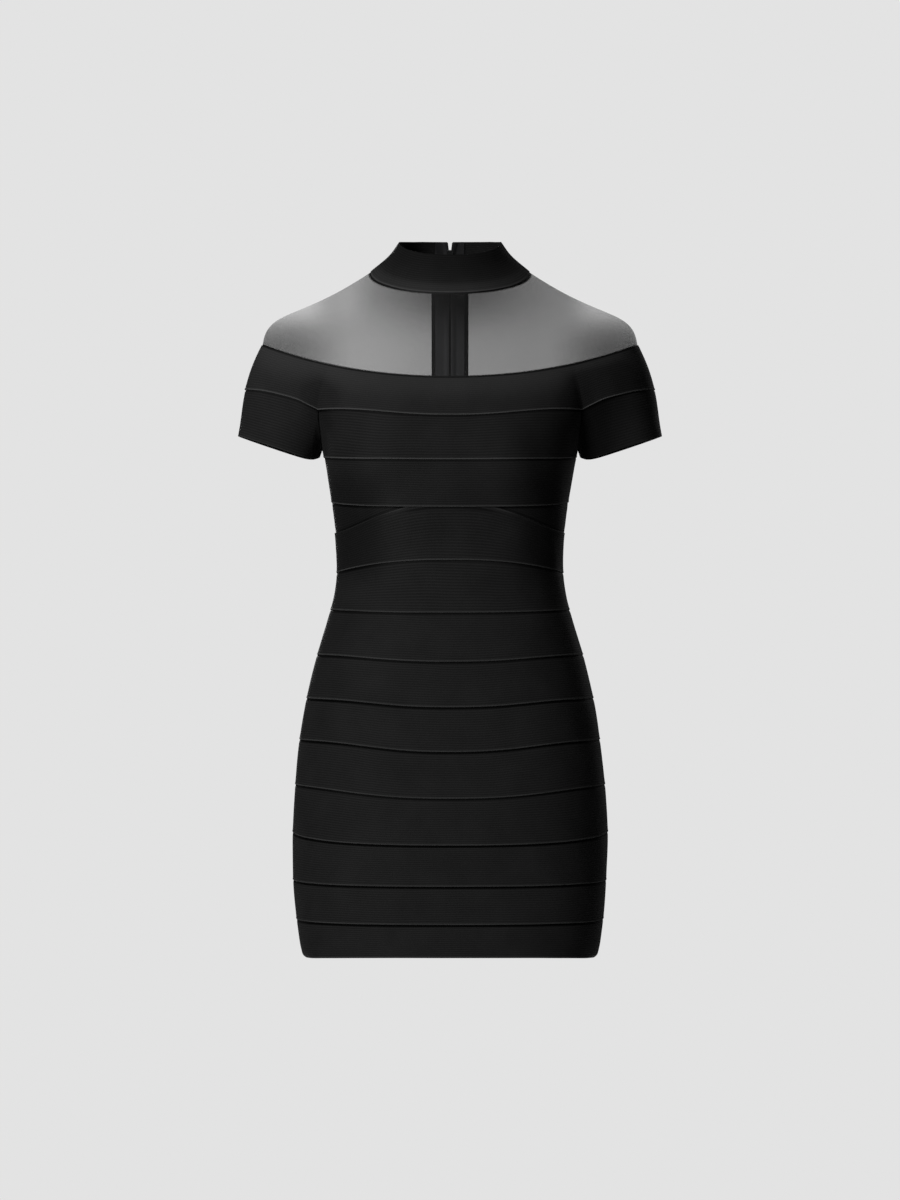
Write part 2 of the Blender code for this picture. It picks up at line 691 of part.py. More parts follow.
def off_shoulder(at, front):
    """The outer station moved off the shoulder line, so that front and back net stay apart."""
    shift = Vector((0.0, -SHOULDER_GAP if front else SHOULDER_GAP, 0.0))
    turn = 90 - SHOULDER_TURN if front else 90 + SHOULDER_TURN
    return dict(at, high=at["high"] + shift, low=at["low"] + shift,
                turn=math.copysign(turn, at["turn"]))


def yokes():
    left, right = half_stations(1, True), half_stations(-1, True)
    left[-1], right[-1] = off_shoulder(left[-1], True), off_shoulder(right[-1], True)
    yoke("yoke_front", left[::-1] + right[1:], (0, len(left) + len(right) - 2))
    left, right = half_stations(1, False), half_stations(-1, False)
    left[-1], right[-1] = off_shoulder(left[-1], False), off_shoulder(right[-1], False)
    yoke("yoke_back_left", [edge_station(1, NET_EDGE)] + left[1:], (len(left) - 1,))
    yoke("yoke_back_right", right[:0:-1] + [edge_station(-1, NET_EDGE)], (0,))


def back_strip(name, look, edges, rows, layer, half):
    """A strip along the centre back. rows are (surface, part) and edges gives x in each row."""
    surfaces = {"collar": collar_surface, "yoke": yoke_surface, "chest": chest_surface}
    grid = []
    for r, (surface, part) in enumerate(rows):
        line = []
        for x in edges(r):
            if surface == "body":
                line.append(body(("edge", x), part))
            else:
                side = 1 if x > 0 else -1
                line.append(surfaces[surface](edge_station(side, abs(x)), part))
        grid.append(line)
    wall(name, look, grid, same(layer), same(half), same(half))


def placket(side):
    parts = (0.01, 0.25, 0.5, 0.75, 0.985)
    xs = (ZIP_EDGE, PLACKET_MIDDLE, PLACKET_WIDE)
    if side < 0:
        xs = tuple(-x for x in xs[::-1])
    back_strip("placket_left" if side > 0 else "placket_right", "knit", lambda r: xs,
               [("yoke", part) for part in parts], 0.0, KNIT / 2)


# ---- zip -------------------------------------------------------------------------------------


def zip_rows(start):
    """The centre back from a place on the collar down past the zip's end.

    The last row is the tapes' own; the coil stops a row above it."""
    rows = [("collar", part) for part in (0.0, 0.2, 0.42, 0.7, 1.0) if part > start]
    rows = [("collar", start)] + rows
    rows += [("yoke", part) for part in (0.25, 0.5, 0.75, 1.0)]
    rows += [("chest", 0.5)]
    top, end = seam("chest", 180.0), seam(ZIP_END, 180.0)
    drop = end + CHAIN_PAST - top
    rows += [("body", top + drop * i / ZIP_STEPS) for i in range(ZIP_STEPS + 1)]
    return rows + [("body", end + TAPE_PAST)]


def tape(side):
    rows = zip_rows(0.0)

    def edges(r):
        surface, part = rows[r]
        notch = TAPE_NOTCH * max(0.0, 1 - 2 * part) if surface == "collar" else 0.0
        xs = (TAPE_GAP + notch, TAPE_MIDDLE, TAPE_EDGE)
        return xs if side > 0 else tuple(-x for x in xs[::-1])

    back_strip("zip_tape_left" if side > 0 else "zip_tape_right", "tape", edges, rows,
               TAPE_LAYER, TAPE / 2)


def chain():
    back_strip("zip_chain", "coil", lambda r: (-CHAIN_HALF, -0.05, 0.05, CHAIN_HALF),
               zip_rows(CHAIN_TOP)[:-1], CHAIN_LAYER, CHAIN_THICK / 2)


def slider_frame():
    """Axes at the slider: x across, y up along the collar, z outwards."""
    here = collar_surface(edge_station(1, 0.5), CHAIN_TOP)
    here.x = 0.0
    up = collar_surface(edge_station(1, 0.5), 0.0) - collar_surface(edge_station(1, 0.5), 1.0)
    up.x = 0.0
    up.normalize()
    across = Vector((1.0, 0.0, 0.0))
    out = up.cross(across)
    turned = Matrix((across, up, out)).transposed().to_4x4()
    return Matrix.Translation(here * METRE) @ turned


def box_piece(name, look, boxes, frame):
    """Boxes joined to one solid. Each is a dictionary with its centre and size in these axes."""
    made = []
    for i, box in enumerate(boxes):
        mesh = bmesh.new()
        bmesh.ops.create_cube(mesh, size=1.0)
        bmesh.ops.scale(mesh, vec=Vector(box["size"]) * METRE, verts=mesh.verts)
        bmesh.ops.translate(mesh, vec=Vector(box["centre"]) * METRE, verts=mesh.verts)
        bmesh.ops.transform(mesh, matrix=frame, verts=mesh.verts)
        piece = finished(name if i == 0 else f"{name}_with_{i}", look, mesh)
        made.append(piece)
        if i:
            piece.hide_render = True
            piece.display_type = "WIRE"
            union = made[0].modifiers.new(f"join_{i}", "BOOLEAN")
            union.operation = "UNION"
            union.object = piece


def slider(frame):
    """Two plates joined by a post, with a bridge over the front plate that holds the pull."""
    outer, inner = SLIDER["outer"], SLIDER["inner"]
    plate = (SLIDER["wide"], SLIDER["long"], SLIDER["plate"])
    post = (SLIDER["post"], 2.4, outer - inner + 0.4)
    foot = (SLIDER["foot"], 0.9, 2.6)
    box_piece("zip_slider", "metal", [
        dict(centre=(0.0, SLIDER["middle"], outer), size=plate),
        dict(centre=(0.0, SLIDER["middle"], inner), size=plate),
        dict(centre=(0.0, SLIDER["middle"] + 4.1, (outer + inner) / 2), size=post),
        dict(centre=(0.0, -3.95, SLIDER["foot_out"]), size=foot),
        dict(centre=(0.0, 0.95, SLIDER["foot_out"]), size=foot),
        dict(centre=(0.0, -1.5, SLIDER["bridge_out"]), size=(SLIDER["post"], 6.0, 1.0)),
    ], frame)


def pull(frame):
    """A flat tab on two arms, whose crossbar lies under the slider's bridge."""
    along, out = PIVOT["along"], PIVOT["out"]
    arm = (1.0, 4.5, 1.0)
    box_piece("zip_pull", "metal", [
        dict(centre=(0.0, along + PULL["tab_at"], out), size=PULL["tab"]),
        dict(centre=(-PULL["arm_at"], along - 1.95, out), size=arm),
        dict(centre=(PULL["arm_at"], along - 1.95, out), size=arm),
        dict(centre=(0.0, along, out), size=(4.1, 0.8, 0.8)),
    ], frame)


def build():
    clear_scene()
    collar()
    yokes()
    for side in (1, -1):
        placket(side)
    neckline_band()
    bust_band()
    for side in (1, -1):
        wedge(side)
        sleeve(side)
    waist_band()
    for row in BANDS:
        plain_band(row)
    for side in (1, -1):
        tape(side)
    chain()
    frame = slider_frame()
    slider(frame)
    pull(frame)


build()
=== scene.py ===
"""Bandage-knit bodycon dress with a net yoke, dressed on its CAD frame.

The cloth is made in millimetres on the same named surfaces as the solids, sampled finely, and
each piece is a thin closed shell with rounded folds. +X is the wearer's left and the front faces
-Y. The metal parts of the zip are modelled from primitives.
"""
import math
import bpy
import numpy as np
from mathutils import Matrix, Vector


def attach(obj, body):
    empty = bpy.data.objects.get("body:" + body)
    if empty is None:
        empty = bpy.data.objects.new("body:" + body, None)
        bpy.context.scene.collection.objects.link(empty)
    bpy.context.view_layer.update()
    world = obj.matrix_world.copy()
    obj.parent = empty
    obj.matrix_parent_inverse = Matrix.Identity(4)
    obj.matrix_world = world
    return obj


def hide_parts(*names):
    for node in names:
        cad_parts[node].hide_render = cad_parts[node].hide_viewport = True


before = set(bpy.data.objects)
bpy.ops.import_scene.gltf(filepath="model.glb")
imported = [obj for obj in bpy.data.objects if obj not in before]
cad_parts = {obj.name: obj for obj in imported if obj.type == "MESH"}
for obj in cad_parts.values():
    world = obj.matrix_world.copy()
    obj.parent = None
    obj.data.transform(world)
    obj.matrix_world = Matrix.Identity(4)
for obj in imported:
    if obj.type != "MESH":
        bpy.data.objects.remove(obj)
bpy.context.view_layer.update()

bpy.ops.object.select_all(action="DESELECT")

METRE = 0.001         # the cloth's sizes below are in millimetres
MIRROR = np.array((-1.0, 1.0, 1.0))     # from the wearer's left to the right
LEVEL = np.array((1.0, 1.0, 0.0))       # leaves the height out of a direction

# ---- camera, light and floor -----------------------------------------------------------------

CAMERA_AT = (0.0, -4.5, -0.3759)
CAMERA_LENS, CAMERA_SENSOR = 117.8, 36.0
CAMERA_SEES = (0.1, 50.0)
BACKDROP, FLOOR_PAPER = "#e3e3e3", "#e0e0e0"
FLOOR_Z, FLOOR_RADIUS, FLOOR_CORNERS = -1.42, 2.2, 96
# The dim room's light on the camera's side and behind, and where it changes between them.
ROOM = dict(front=0.015, back=0.12, start=-0.1, end=0.9)
KEY = dict(turn=-38.0, rise=21.0, far=3.6, size=1.3, power=100.0)
BACK_LIGHT = dict(turn=186.0, rise=12.0, far=3.6, size=1.6, power=92.0)
SIDE_LIGHT = dict(turn=146.0, rise=14.0, far=3.6, size=1.6, power=15.0)
FLOOR_GLOW = 0.94     # share of the floor that shows as the backdrop does
AIM = Vector((0.0, 0.0, -0.38))


def linear(colour):
    """An sRGB hex colour as linear values with alpha."""
    parts = [int(colour[i:i + 2], 16) / 255 for i in (1, 3, 5)]
    return tuple(p / 12.92 if p <= 0.04045 else ((p + 0.055) / 1.055) ** 2.4
                 for p in parts) + (1.0,)


def node(tree, kind, links=(), **settings):
    """Adds a node. Settings are attributes, or inputs when their name is in_ and a number or
    name; links are (input, output socket)."""
    made = tree.nodes.new(kind)
    for name, value in settings.items():
        if name.startswith("in_"):
            key = name[3:]
            made.inputs[int(key) if key.isdigit() else key].default_value = value
        else:
            setattr(made, name, value)
    for key, source in links:
        tree.links.new(source, made.inputs[key])
    return made


def new_material(name):
    """An empty material and its node tree."""
    made = bpy.data.materials.new(name)
    made.use_nodes = True
    made.node_tree.nodes.clear()
    return made, made.node_tree


def camera():
    """Level, in front of the dress and far enough off that it shows almost flat."""
    data = bpy.data.cameras.new("camera")
    data.lens, data.sensor_width, data.sensor_fit = CAMERA_LENS, CAMERA_SENSOR, "AUTO"
    data.clip_start, data.clip_end = CAMERA_SEES
    made = bpy.data.objects.new("camera", data)
    made.location = CAMERA_AT
    made.rotation_euler = (math.pi / 2, 0.0, 0.0)
    bpy.context.scene.collection.objects.link(made)
    bpy.context.scene.camera = made


def area_light(name, row):
    """A round soft light that faces the dress from this turn and rise."""
    data = bpy.data.lights.new(name, "AREA")
    data.energy, data.size, data.shape = row["power"], row["size"], "DISK"
    made = bpy.data.objects.new(name, data)
    turn, rise = math.radians(row["turn"]), math.radians(row["rise"])
    towards = Vector((math.sin(turn) * math.cos(rise), -math.cos(turn) * math.cos(rise),
                      math.sin(rise)))
    made.location = AIM + towards * row["far"]
    made.rotation_euler = towards.to_track_quat("Z", "Y").to_euler()
    bpy.context.scene.collection.objects.link(made)


def studio():
    """Pale paper behind, dark room in front, as the light reaches the cloth; flat to the eye."""
    world = bpy.data.worlds.new("studio")
    bpy.context.scene.world = world
    world.use_nodes = True
    tree = world.node_tree
    tree.nodes.clear()
    path = node(tree, "ShaderNodeLightPath")
    where = node(tree, "ShaderNodeTexCoord")
    split = node(tree, "ShaderNodeSeparateXYZ", [(0, where.outputs["Generated"])])
    share = node(tree, "ShaderNodeMapRange", [("Value", split.outputs["Y"])],
                 interpolation_type="SMOOTHSTEP", in_1=ROOM["start"], in_2=ROOM["end"],
                 in_3=ROOM["front"], in_4=ROOM["back"])
    room = node(tree, "ShaderNodeBackground", [("Strength", share.outputs[0])])
    paper = node(tree, "ShaderNodeBackground", in_Color=linear(BACKDROP))
    mix = node(tree, "ShaderNodeMixShader", [(0, path.outputs["Is Camera Ray"]),
                                             (1, room.outputs[0]), (2, paper.outputs[0])])
    node(tree, "ShaderNodeOutputWorld", [("Surface", mix.outputs[0])])
    bpy.context.scene.view_settings.view_transform = "Standard"
    area_light("key", KEY)
    area_light("back_light", BACK_LIGHT)
    area_light("side_light", SIDE_LIGHT)


def floor():
    """Pale paper that shows as the backdrop does and still catches a little light."""
    bpy.ops.mesh.primitive_circle_add(vertices=FLOOR_CORNERS, radius=FLOOR_RADIUS,
                                      fill_type="NGON", location=(0.0, 0.0, FLOOR_Z))
    made = bpy.context.object
    made.name = "floor"
    bpy.ops.object.transform_apply(location=True, rotation=True, scale=True)
    look, tree = new_material("paper_floor")
    lit = node(tree, "ShaderNodeBsdfDiffuse", in_Color=linear(FLOOR_PAPER))
    paper = node(tree, "ShaderNodeEmission", in_Color=linear(BACKDROP))
    path = node(tree, "ShaderNodeLightPath")
    share = node(tree, "ShaderNodeMath", [(0, path.outputs["Is Camera Ray"])],
                 operation="MULTIPLY", in_1=FLOOR_GLOW)
    mix = node(tree, "ShaderNodeMixShader", [(0, share.outputs[0]), (1, lit.outputs[0]),
                                             (2, paper.outputs[0])])
    node(tree, "ShaderNodeOutputMaterial", [("Surface", mix.outputs[0])])
    made.data.materials.append(look)
    bpy.ops.object.select_all(action="DESELECT")


camera()
studio()
floor()

# ---- the dress's own sizes, as the solids have them ------------------------------------------

KNIT = 0.7            # the knit as it shows; the solids' walls are 1.4
HALF = KNIT / 2
BASE = 0.35           # its middle, so that its face lies where the solid's does
RIM = 0.4             # how far in from an edge the knit has its full thickness
LAP = 4.0             # how far a band reaches up behind the one above
TUCK = -0.8           # and how deep it lies there
LIFT = dict(out=0.3, high=9.0, bend=1.25)      # how a band's lower edge comes forward
OVER = 0.85           # how far the sleeve stands out over band 2's edge
NET_THICK = 0.3
NET_LAYER, NET_TUCK = -0.15, -0.4              # where the net lies, and where under the knit
# The doubled net that shows below the collar and above band 1, and how much it covers.
NET_SEAM = dict(top=0.6, top_fade=1.3, foot=1.7, foot_fade=0.9, cover=0.97)
NET_LAP = (4.0, 3.7, 2.6, 1.3)                 # its rows under the collar, and under band 1
NET_ROWS = ((0.0, 0.004, 0.008, 0.013), np.linspace(0.02, 0.97, 42),
            (0.977, 0.983, 0.989, 0.995, 1.0))
# Where it comes out from under the collar and goes under band 1, as shares of its height.
NET_OUT = dict(top_fade=0.08, foot=0.86, foot_fade=0.14)
SHOULDER_LINE = dict(row=20, out=60.0)         # a panel's end column is on it if it is this far out

# At the centre back, where edges and columns are distances from the middle.
ZIP_EDGE = 3.2        # the knit's edge beside the zip
SEAM_EDGE = 0.0       # and below it, where both edges meet
BACK_DIP = dict(depth=0.75, half=1.8)          # that seam's dip
PLACKET_WIDE = 21.5
# light and fade: a painted highlight on the margin beyond the stitching.
PLACKET_STITCH = dict(at=16.8, depth=0.28, half=0.45, light=0.2, fade=0.8)
PLACKET_COLUMNS = ((0.0, 0.12, 0.35, 0.75, 1.5), np.linspace(6.0, 15.4, 6),
                   (-0.8, -0.4, 0.0, 0.4, 0.8), (2.8, 1.5, 0.75, 0.35, 0.12, 0.0))
PLACKET_ROWS = ((0.003, 0.0042, 0.0065, 0.011, 0.021), np.linspace(0.04, 0.96, 34),
                (0.98, 0.99, 0.995, 0.997, 0.998))
NET_EDGE = 17.0
NET_UNDER = (22.0, 34.0)                       # between these it sinks, to lie under the placket
TAPE_EDGE = 17.0
TAPE_GAP = 1.05
# From the middle to a tape's edge on the collar: (share of the collar's height, millimetres).
TAPE_OPEN = ((0.0, 2.45), (0.27, 1.15), (0.5, TAPE_GAP))
# How much painted shade lies on each tape where the net bares it: (share of the net's height,
# shade).
TAPE_SHADE = {1: ((0.2, 0.05), (0.42, 0.08), (0.6, 0.36), (0.8, 0.5)),
             -1: ((0.2, 0.5), (0.42, 0.4), (0.6, 0.5), (0.8, 0.56))}
TAPE_DEEP = -2.75     # the tape's layer behind the coil
TAPE_LAYER = -1.3     # behind the knit
TAPE_ON_NET = -0.85   # and where the net or the collar covers it
TAPE_SMOOTH = 5       # rows that the change between these is spread over
TAPE_RISE = dict(start=3.4, with_gap=2.2, over=4.0)      # where it comes up beside the coil
TAPE_THICK = 0.7
TAPE_PAST = -12.0     # how far the tape ends below the last seam of the zip
TAPE_TOP = (0.0, 0.004, 0.012, 0.03)
TAPE_RIM = np.array((0.0, 0.1, 0.3, 0.7))
TAPE_FLAT = (1.8, 1.2, 10)                     # its even columns: from both edges, and how many
CHAIN_HALF = 2.7
CHAIN_LAYER = -1.05
CHAIN_TOP = 0.42      # where the slider sits, as a share of the collar's height from its rim
CHAIN_PAST = 6.0      # how far the coil ends above the last seam of the zip
OPEN_TOP = 0.03       # where the coil ends below the collar's top, as a share of its height
# One turn of the coil: how far it reaches past the middle, its size, and its place in the row.
TOOTH = dict(pitch=1.5, past=1.4, wide=1.0, high=2.3, bevel=0.3, start=0.6, end=1.0)
COIL_OPEN = dict(clear=0.1, drop=0.12, turn=3.0)         # how both halves part above the slider
COIL_SHARP = math.radians(50)
NEAR_MIDDLE = [0.5]   # the zip's line is read here, as the middle itself has no direction
ROW_STEP, COIL_STEP = 4.0, 2.0                 # rows down the centre back, on collar and body
YOKE_STEPS, CHEST_STEPS = 34, 12               # and on the net and on band 1

SQUARE = 2.5          # how square the body's section is: 2 is an ellipse
BUST = dict(out=6.0, x=70.0, z=-214.0, wide=34.0, high=34.0)
# The body's half width and its depth in front and behind, by height.
BODY = [
    dict(z=-145.0, half=169.0, front=104.5, back=97.5),
    dict(z=-165.0, half=160.5, front=111.0, back=100.0),
    dict(z=-190.0, half=149.5, front=116.0, back=101.0),
    dict(z=-213.0, half=143.6, front=117.0, back=99.0),
    dict(z=-240.0, half=138.8, front=114.0, back=95.5),
    dict(z=-272.0, half=133.6, front=106.0, back=90.0),
    dict(z=-302.0, half=130.7, front=98.0, back=86.0),
    dict(z=-344.0, half=129.0, front=92.0, back=83.5),
    dict(z=-371.0, half=132.3, front=93.0, back=86.0),
    dict(z=-399.0, half=139.5, front=97.0, back=91.5),
    dict(z=-440.0, half=152.0, front=104.0, back=102.0),
    dict(z=-481.0, half=162.0, front=109.0, back=112.0),
    dict(z=-523.0, half=169.5, front=113.0, back=119.5),
    dict(z=-578.0, half=175.8, front=115.5, back=124.0),
    dict(z=-620.0, half=178.8, front=116.5, back=124.0),
    dict(z=-660.0, half=179.6, front=116.5, back=122.0),
    dict(z=-715.0, half=177.3, front=115.0, back=118.0),
    dict(z=-765.0, half=171.5, front=113.0, back=115.0),
    dict(z=-790.0, half=165.5, front=111.5, back=113.5),
]
# Each seam's height at the side, in front and behind, and how it turns between them; the groove
# below it; the painted highlight on its fold and the painted shade in its crease.
SEAMS = {
    "chest": dict(side=-160.8, front=-169.4, back=-163.0, turn=8.0, groove=2.4,
                  light=0.62, dark=0.45),
    "bust": dict(side=-212.6, front=-219.0, back=-214.0, turn=0.8, groove=2.0,
                 light=0.62, dark=0.5),
    "under_bust": dict(side=-263.9, front=-271.6, back=-266.0, turn=0.7, groove=2.6,
                       light=0.46, dark=0.45),
    "wedge": dict(side=-299.1, front=-267.8, back=-299.5, turn=3.27, groove=3.0,
                  light=0.24, dark=0.25),
    "waist": dict(side=-345.0, front=-331.0, back=-345.0, turn=2.0, groove=3.6,
                  light=0.42, dark=0.45),
    "high_hip": dict(side=-387.3, front=-390.5, back=-389.0, turn=2.0, groove=3.8,
                     light=0.38, dark=0.6),
    "hip_1": dict(side=-438.5, front=-445.3, back=-441.0, turn=5.0, groove=4.2,
                  light=0.38, dark=0.7),
    "hip_2": dict(side=-488.0, front=-496.1, back=-492.0, turn=6.5, groove=4.6,
                  light=0.37, dark=0.9),
    "hip_3": dict(side=-535.0, front=-545.9, back=-540.0, turn=6.2, groove=4.6,
                  light=0.34, dark=0.9),
    "hip_4": dict(side=-586.4, front=-598.0, back=-590.0, turn=4.0, groove=4.6,
                  light=0.32, dark=0.7),
    "skirt_1": dict(side=-640.1, front=-650.2, back=-644.0, turn=1.0, groove=4.2,
                    light=0.32, dark=1.0),
    "skirt_2": dict(side=-695.5, front=-696.3, back=-695.5, turn=2.0, groove=4.0,
                    light=0.34, dark=1.0),
    "skirt_3": dict(side=-739.8, front=-739.0, back=-740.0, turn=2.0, groove=4.2,
                    light=0.34, dark=1.0),
    "hem": dict(side=-785.5, front=-776.0, back=-786.0, turn=0.8, groove=4.0,
                light=0.3, dark=0.0),
}
SEAM_TURN = 0.07      # a seam rounds over at the side instead of meeting in a point
# The painted shade in the crease under a fold: between which distances from the fold, and how fast
# it fades.
CREASE_LINE = dict(start=-1.2, grow=0.8, end=1.7, fade=1.5)
SIDE_RELIEF = dict(less=0.26, start=55.0, fade=28.0)
# Painted shade towards the sides, and more of it at the sides of the waist.
SIDE_SHADE = dict(share=0.2, start=22.0, fade=36.0)
WAIST_SHADE = dict(share=0.36, start=20.0, turn=22.0, low=-372.0, high=-212.0, fade=40.0)
# The bands that run all round from seam to seam, each with its edge at the centre back.
BANDS = [
    dict(name="band_03", above="bust", below="under_bust", edge=ZIP_EDGE),
    dict(name="band_06", above="waist", below="high_hip", edge=ZIP_EDGE),
    dict(name="band_07", above="high_hip", below="hip_1", edge=ZIP_EDGE),
    dict(name="band_08", above="hip_1", below="hip_2", edge=ZIP_EDGE),
    dict(name="band_09", above="hip_2", below="hip_3", edge=ZIP_EDGE),
    dict(name="band_10", above="hip_3", below="hip_4", edge=SEAM_EDGE),
    dict(name="band_11", above="hip_4", below="skirt_1", edge=SEAM_EDGE),
    dict(name="band_12", above="skirt_1", below="skirt_2", edge=SEAM_EDGE),
    dict(name="band_13", above="skirt_2", below="skirt_3", edge=SEAM_EDGE),
    dict(name="band_14", above="skirt_3", below="hem", edge=SEAM_EDGE),
]
ZIP_END = "hip_3"
HEM_CURL = dict(depth=3.6, start=58.0, fade=26.0, high=6.5)     # the hem turns in at the sides
# Where the waist band's upper edge lies, by the angle from the front, and to what height.
WAIST_TOP = ((0.0, -1.1), (13.0, -1.0), (26.0, -0.2), (39.0, 0.2), (52.0, 0.32), (80.0, 0.2))
WAIST_TOP_HIGH = 9.0
WAIST_FOLD = dict(start=12.0, fade=10.0)       # from where that edge lies over the wedges
CREASE = 64.0         # the angle of the crease between chest and arm
ARMHOLE = dict(low=-203.0, lap=2.4, lap_turn=3.0, tuck_turn=6.0, columns=54)
BUST_TUCK = dict(start=56.0, turn=8.0)         # the tuck deepens towards the arm
BUST_SHORT = dict(out=0.15, start=70.0, turn=6.0, from_crease=4.0, high=20.0)
BUST_EVEN = dict(share=0.7, start=60.0, turn=8.0)
# Painted shade at the top of band 2, towards the armpit.
BUST_PIT_SHADE = dict(share=0.3, start=48.0, turn=12.0, high=14.0, fade=34.0)
# The wedges end in a point at this angle from the front. Their layers, by that angle, are those
# of the upper edge, below it, above the lower edge, and of that edge.
WEDGE_TIP = 13.0
WEDGE_LEAST = 10.0    # they are at least this high, as their point lies behind band 5
WEDGE_COLUMNS = (13.0, 26.0, 39.0, 52.0, 64.0)
WEDGE_LAYERS = ((-2.2, -1.6, -0.95, -0.82, TUCK), (-2.2, -1.5, -0.35, 0.0, 0.0),
                (-2.2, -1.5, -0.6, -0.2, 0.0), (-2.2, -1.6, -1.05, -0.85, -0.72))
WEDGE_HEAD = dict(high=12.0, share=0.4)
WEDGE_FOOT = dict(high=14.0, share=0.45)
WEDGE_RIM = 2.0       # millimetres of edge for each degree from the point
# The line where the net meets band 1, and the places on it that lie over the body's angles.
NECKLINE = dict(half=215.0, front=94.0, back=90.0, side_z=-84.2, front_z=-125.5,
                back_z=-121.0, square=2.1, turn=1.95)
CHEST_STATIONS = [
    dict(neck=0.0, angle=0.0),
    dict(neck=45.0, angle=13.0),
    dict(neck=77.0, angle=26.0),
    dict(neck=103.0, angle=39.0),
    dict(neck=123.0, angle=52.0),
    dict(neck=137.0, angle=CREASE),
]
# The seam between band 1 and the sleeve, from the crease to the top of the arm.
ARM_STATIONS = [
    dict(neck=151.0, x=162.0, depth=58.5, z=-154.5, hem_angle=127.0),
    dict(neck=164.0, x=173.0, depth=58.5, z=-149.3, hem_angle=110.0),
    dict(neck=180.0, x=190.0, depth=54.0, z=-144.2, hem_angle=88.0),
    dict(neck=196.0, x=210.0, depth=42.0, z=-139.2, hem_angle=60.0),
    dict(neck=208.0, x=226.0, depth=24.0, z=-136.6, hem_angle=30.0),
    dict(neck=215.0, x=234.0, depth=0.0, z=-135.5, hem_angle=0.0),
]
BACK_ARM = 0.93       # the arm's depth behind, as a share of that in front
BAND_BULGE = 2.0      # how far band 1 bows out between its edges
# Band 1: how uneven it is and where it is even, painted shade along its upper edge, and painted
# light all over and more on its upper part, which faces up to the light.
NECK_BAND = dict(uneven=0.8, even_top=10.0, edge=2.0, light=0.05, upper=0.18, start=4.0, fade=34.0)
# Painted shade by the crease between chest and arm.
NECK_PIT_SHADE = dict(share=0.2, half=18.0, high=34.0)
# Painted shade over the left arm: between which places on the neckline, and from what height.
NECK_ARM_SHADE = dict(share=0.3, start=122.0, grow=26.0, end=184.0, fade=24.0, high=20.0)
# The sleeve's hem is an oval that is lower towards the body.
HEM = dict(x=195.8, half=46.5, front=48.0, back=45.0, outer_z=-188.5, slope=0.33, lift=8.0)
CREASE_HEM_ANGLE = 143.0
ARMHOLE_HEM = [dict(off=64.0, hem=143.0), dict(off=70.0, hem=152.0), dict(off=76.0, hem=161.0),
               dict(off=82.0, hem=170.0), dict(off=90.0, hem=180.0)]
# The collar's section at its rim (0), halfway and at its foot (1).
COLLAR = [
    dict(part=0.0, half=57.6, side_z=34.4, front=54.5, front_z=15.2, back=51.5, back_z=39.1),
    dict(part=0.5, half=70.0, side_z=17.8, front=62.0, front_z=-7.5, back=58.5, back_z=20.5),
    dict(part=1.0, half=91.0, side_z=0.0, front=72.0, front_z=-29.6, back=66.0, back_z=2.0),
]
COLLAR_SQUARE = 2.15
COLLAR_HEIGHT = 54.0
COLLAR_ROWS = (0.0, 0.15, 0.4, 0.8, 1.4, 2.4, 4.0, 6.0, 9.0, 13.0, 17.0, 21.0, 25.0, 29.0, 33.0,
               37.0, 41.0, 44.5, 47.5, 49.8, 51.4, 52.4, 53.1, 53.6, 53.85, 54.0)
COLLAR_CLEAR = 0.004  # how far the knit stays inside the solid's edges, as a share of the height
COLLAR_EVEN = 0.7     # how uneven it is beside the other knit
# Painted shade, darkest at its rim and less down towards its foot, with a painted highlight along
# the foot.
COLLAR_TONE = dict(fold=0.42, rim=-0.45, down=0.37, start=4.0, turn=44.0, foot=0.26,
                   foot_start=30.0, foot_turn=18.0)
# How the net's curves lean out over the shoulder, a third and two thirds of the way down.
SHOULDER = dict(upper_x=42.0, upper_z=-29.0, lower_x=35.5, lower_z=15.0, turn=3.0)
CHEST_ROUND = 3.0     # and how far they stand out over the chest and the back

# Where the rows of a band lie: millimetres from its upper edge and from its lower one.
HEAD_ROWS = (0.0, 0.25, 0.7, 1.6, 2.8, 3.6, 4.1, 4.6, 5.2, 6.0, 7.0, 8.6, 10.6, 12.5)
FOOT_ROWS = (14.0, 11.6, 9.6, 8.0, 6.6, 5.4, 4.5, 3.8, 3.2, 2.7, 2.3, 1.9, 1.5, 1.1, 0.7, 0.4,
             0.15, 0.0)
MIDDLE_ROWS = 9
FULL_SPAN = 34.0      # the rows of a narrower band are closer
SLEEVE_HEAD = (-4.0, -3.7, -3.0, -2.0, -1.0, 0.0, 1.2, 2.6, 4.2, 6.0, 8.5)
SLEEVE_FOOT = (5.0, 3.4, 2.2, 1.3, 0.7, 0.35, 0.1, 0.0)
SLEEVE_MIDDLE, SLEEVE_SPAN = 12, 30.0
HALF_COLUMNS, CROWDED = 72, 1.25               # closer at the middle and at the sides
CHEST_COLUMNS, ARM_COLUMNS = 47, 66
# Columns beside the centre back: millimetres from a piece's free edge.
BESIDE = np.array((0.0, 0.12, 0.35, 0.75, 1.4, 2.6, 4.4, 6.8, 9.8, 13.2, 17.0, 21.0, 25.0, 29.0,
                   33.0, 37.0, 41.5, 46.0))
BESIDE_ANGLE, ANGLE_CLEAR = 13.0, 0.7
BESIDE_NECK, NECK_CLEAR = 45.0, 1.5
FAR = 99.0            # stands for the distance of every other column
# The linked fold along a band's lower edge: how far it stands out, where its middle is and half
# its width; how it thins out by the zip and at the sides; and its painted highlight on an upper
# edge.
BEAD = dict(out=0.5, middle=1.0, half=1.25, by_zip=1.5, at_side=2.5, upper=0.3)

